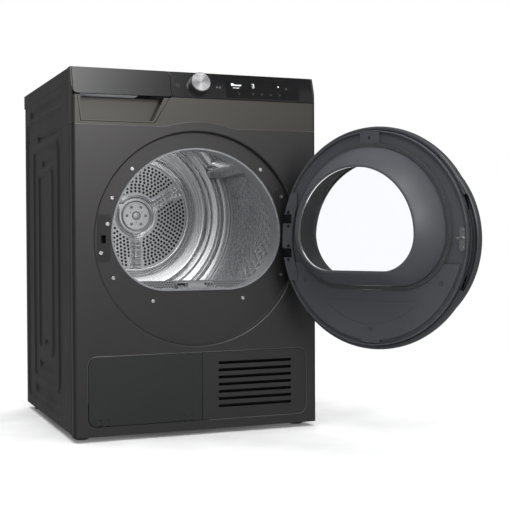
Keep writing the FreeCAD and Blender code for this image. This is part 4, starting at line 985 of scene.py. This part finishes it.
def control_marks():
    """Display window, generic numerals and plain symbols of the touch keys."""
    window = Shape()
    face_plate(window, bar(68.0, 258.0, 4.0, 58.0), GLASS_OUT - 0.1, 0.16)
    make_piece("display_window", window, "cabinet", "display", 30.0)
    top = GLASS_OUT + 0.07
    bright = Shape()
    for x0, x1 in ((84, 90), (91.5, 95.5), (97, 100.5), (102, 106), (107.5, 109)):
        face_plate(bright, bar(x0, x1, 35.5, 38.6 if x0 > 84 else 41.5), top, 0.08)
    for x0, x1 in ((88, 94), (95.5, 103)):
        face_plate(bright, bar(x0, x1, 29.5, 30.7), top, 0.08)
    digit(bright, 3, 136.5, 32.0, 5.6, 10.4, top)
    face_plate(bright, disc(205.0, 38.0, 1.6), top, 0.08)
    make_piece("display_marks", bright, "cabinet", "mark", 30.0)
    dim = Shape()
    for x in (102.0, 138.0, 160.0, 183.0, 206.0):
        face_plate(dim, arc_band(x, 16.0, 2.2, 0.6, 0, 350), top, 0.08)
        face_plate(dim, bar(x - 0.3, x + 0.3, 15.2, 17.2), top, 0.08)
    face_plate(dim, bar(224.0, 227.0, 31.0, 36.0), top, 0.08)
    face_plate(dim, arc_band(-50.0, 29.5, 4.4, 0.7, 120, 420), top, 0.08)
    face_plate(dim, bar(-50.35, -49.65, 30.5, 34.4), top, 0.08)
    face_plate(dim, [(45.5, 26.0), (50.5, 29.5), (45.5, 33.0)], top, 0.08)
    for x in (52.5, 55.5):
        face_plate(dim, bar(x, x + 1.2, 26.0, 33.0), top, 0.08)
    make_piece("key_symbols", dim, "cabinet", "mark_dim", 30.0)


# ------------------------------------------------------------------ stage

WALL_Y = -4.2
CANOPY_Z = 2.97


def studio():
    """White room: a lit front wall with a soft hot spot, a canopy in front, a roof light and a pale floor."""
    bpy.context.scene.view_settings.view_transform = "Standard"
    white_surroundings()
    floor = stage_plane("floor", [(-9, -9, 0), (9, -9, 0), (9, 9, 0), (-9, 9, 0)])
    floor.data.materials.append(floor_paper())
    floor.visible_glossy = False
    wall = stage_plane("front_wall", [(-5, WALL_Y, -1.2), (-5, WALL_Y, 4.6), (5, WALL_Y, 4.6),
                                      (5, WALL_Y, -1.2)])
    wall.data.materials.append(glow("wall_glow", (0.1, WALL_Y, 2.05), (0.95, 1.0, 0.85), 0.42, 7.6))
    canopy = stage_plane("canopy", [(-1.8, -3.3, CANOPY_Z), (-1.8, -1.7, CANOPY_Z), (1.1, -1.7, CANOPY_Z),
                                    (1.1, -3.3, CANOPY_Z)])
    canopy.data.materials.append(glow("canopy_glow", (-0.4, -2.5, CANOPY_Z), (0.86, 3.0, 1.0), 0.0, 7.0))
    for obj in (wall, canopy):
        obj.visible_camera = False
        obj.visible_transmission = False
        obj.visible_shadow = False
    roof = area_lamp("roof", 6.0, 6.0, 330.0, (0.2, 0.8, 4.2), 0.0)
    roof.visible_glossy = False
    area_lamp("drum_fill", 0.26, 0.05, 0.3, (0.03, -0.215, 0.71), math.radians(58))


def white_surroundings():
    """Pale grey surroundings for the light, pure white where the camera looks past the object."""
    world = bpy.data.worlds.new("studio")
    bpy.context.scene.world = world
    world.use_nodes = True
    tree = world.node_tree
    tree.nodes.clear()
    out = tree.nodes.new("ShaderNodeOutputWorld")
    mix = tree.nodes.new("ShaderNodeMixShader")
    path = tree.nodes.new("ShaderNodeLightPath")
    either = tree.nodes.new("ShaderNodeMath")
    either.operation = "MAXIMUM"
    room = tree.nodes.new("ShaderNodeBackground")
    room.inputs["Color"].default_value = (0.16, 0.16, 0.164, 1.0)
    backdrop = tree.nodes.new("ShaderNodeBackground")
    backdrop.inputs["Color"].default_value = (1.0, 1.0, 1.0, 1.0)
    tree.links.new(path.outputs["Is Camera Ray"], either.inputs[0])
    tree.links.new(path.outputs["Is Transmission Ray"], either.inputs[1])
    tree.links.new(either.outputs[0], mix.inputs[0])
    tree.links.new(room.outputs[0], mix.inputs[1])
    tree.links.new(backdrop.outputs[0], mix.inputs[2])
    tree.links.new(mix.outputs[0], out.inputs["Surface"])


def area_lamp(name, size_x, size_y, energy, place, tilt):
    data = bpy.data.lights.new(name, "AREA")
    data.shape = "RECTANGLE"
    data.size = size_x
    data.size_y = size_y
    data.energy = energy
    lamp = bpy.data.objects.new(name, data)
    bpy.context.scene.collection.objects.link(lamp)
    lamp.location = place
    lamp.rotation_euler = (tilt, 0.0, 0.0)
    lamp.visible_camera = False
    return lamp


def stage_plane(name, corners):
    mesh = bpy.data.meshes.new(name)
    mesh.from_pydata(corners, [], [(0, 1, 2, 3)])
    obj = bpy.data.objects.new(name, mesh)
    bpy.context.scene.collection.objects.link(obj)
    return obj


def hill(tree, centre, spans):
    """Soft round hill: 1 at a centre, falling off over the three spans."""
    place = tree.nodes.new("ShaderNodeTexCoord")
    offset = tree.nodes.new("ShaderNodeVectorMath")
    offset.operation = "SUBTRACT"
    offset.inputs[1].default_value = centre
    scale = tree.nodes.new("ShaderNodeVectorMath")
    scale.operation = "DIVIDE"
    scale.inputs[1].default_value = spans
    square = tree.nodes.new("ShaderNodeVectorMath")
    square.operation = "DOT_PRODUCT"
    minus = tree.nodes.new("ShaderNodeMath")
    minus.operation = "MULTIPLY"
    minus.inputs[1].default_value = -1.0
    power = tree.nodes.new("ShaderNodeMath")
    power.operation = "POWER"
    power.inputs[0].default_value = math.e
    tree.links.new(place.outputs["Object"], offset.inputs[0])
    tree.links.new(offset.outputs[0], scale.inputs[0])
    tree.links.new(scale.outputs[0], square.inputs[0])
    tree.links.new(scale.outputs[0], square.inputs[1])
    tree.links.new(square.outputs["Value"], minus.inputs[0])
    tree.links.new(minus.outputs[0], power.inputs[1])
    return power.outputs[0]


def glow(name, centre, spans, base, peak):
    """Light panel with a soft hot spot."""
    mat = bpy.data.materials.new(name)
    mat.use_nodes = True
    tree = mat.node_tree
    tree.nodes.clear()
    level = tree.nodes.new("ShaderNodeMath")
    level.operation = "MULTIPLY_ADD"
    level.inputs[1].default_value = peak
    level.inputs[2].default_value = base
    emission = tree.nodes.new("ShaderNodeEmission")
    out = tree.nodes.new("ShaderNodeOutputMaterial")
    tree.links.new(hill(tree, centre, spans), level.inputs[0])
    tree.links.new(level.outputs[0], emission.inputs["Strength"])
    tree.links.new(emission.outputs[0], out.inputs["Surface"])
    return mat


def floor_paper():
    """Pale paper floor that runs out into the white of the room."""
    mat = moulded("floor_paper", (0.92, 0.92, 0.925), 0.9, 0.0)
    tree = mat.node_tree
    out = tree.nodes["Material Output"]
    white = tree.nodes.new("ShaderNodeEmission")
    white.inputs["Color"].default_value = (1.0, 1.0, 1.0, 1.0)
    mix = tree.nodes.new("ShaderNodeMixShader")
    tree.links.new(hill(tree, (0.0, 0.0, 0.0), (0.95, 0.95, 1.0)), mix.inputs[0])
    tree.links.new(white.outputs[0], mix.inputs[1])
    tree.links.new(tree.nodes["Principled BSDF"].outputs[0], mix.inputs[2])
    tree.links.new(mix.outputs[0], out.inputs["Surface"])
    return mat


CAMERA_PLACE = (-0.8337, -2.7084, 0.4681)
CAMERA_AIM = (0.3745, 0.9270, -0.0183)
CAMERA_ROLL = -0.0044
CAMERA_LENS = 76.75


def camera():
    data = bpy.data.cameras.new("camera")
    data.lens = CAMERA_LENS
    data.sensor_width = 36.0
    obj = bpy.data.objects.new("camera", data)
    bpy.context.scene.collection.objects.link(obj)
    obj.location = CAMERA_PLACE
    forward = Vector(CAMERA_AIM).normalized()
    right = forward.cross(Vector((0, 0, 1))).normalized()
    up = right.cross(forward)
    side = right * math.cos(CAMERA_ROLL) + up * math.sin(CAMERA_ROLL)
    top = side.cross(forward)
    obj.rotation_euler = Matrix((side, top, -forward)).transposed().to_euler()
    bpy.context.scene.camera = obj


camera()
studio()
dress_nodes()
side_panels()
drum_shell()
drum_back()
drum_shade_screen()
hub_details()
mouth_trim()
sill_grille()
filter_details()
edge_highlight_lines()
door_lining()
hinge_caps()
control_marks()
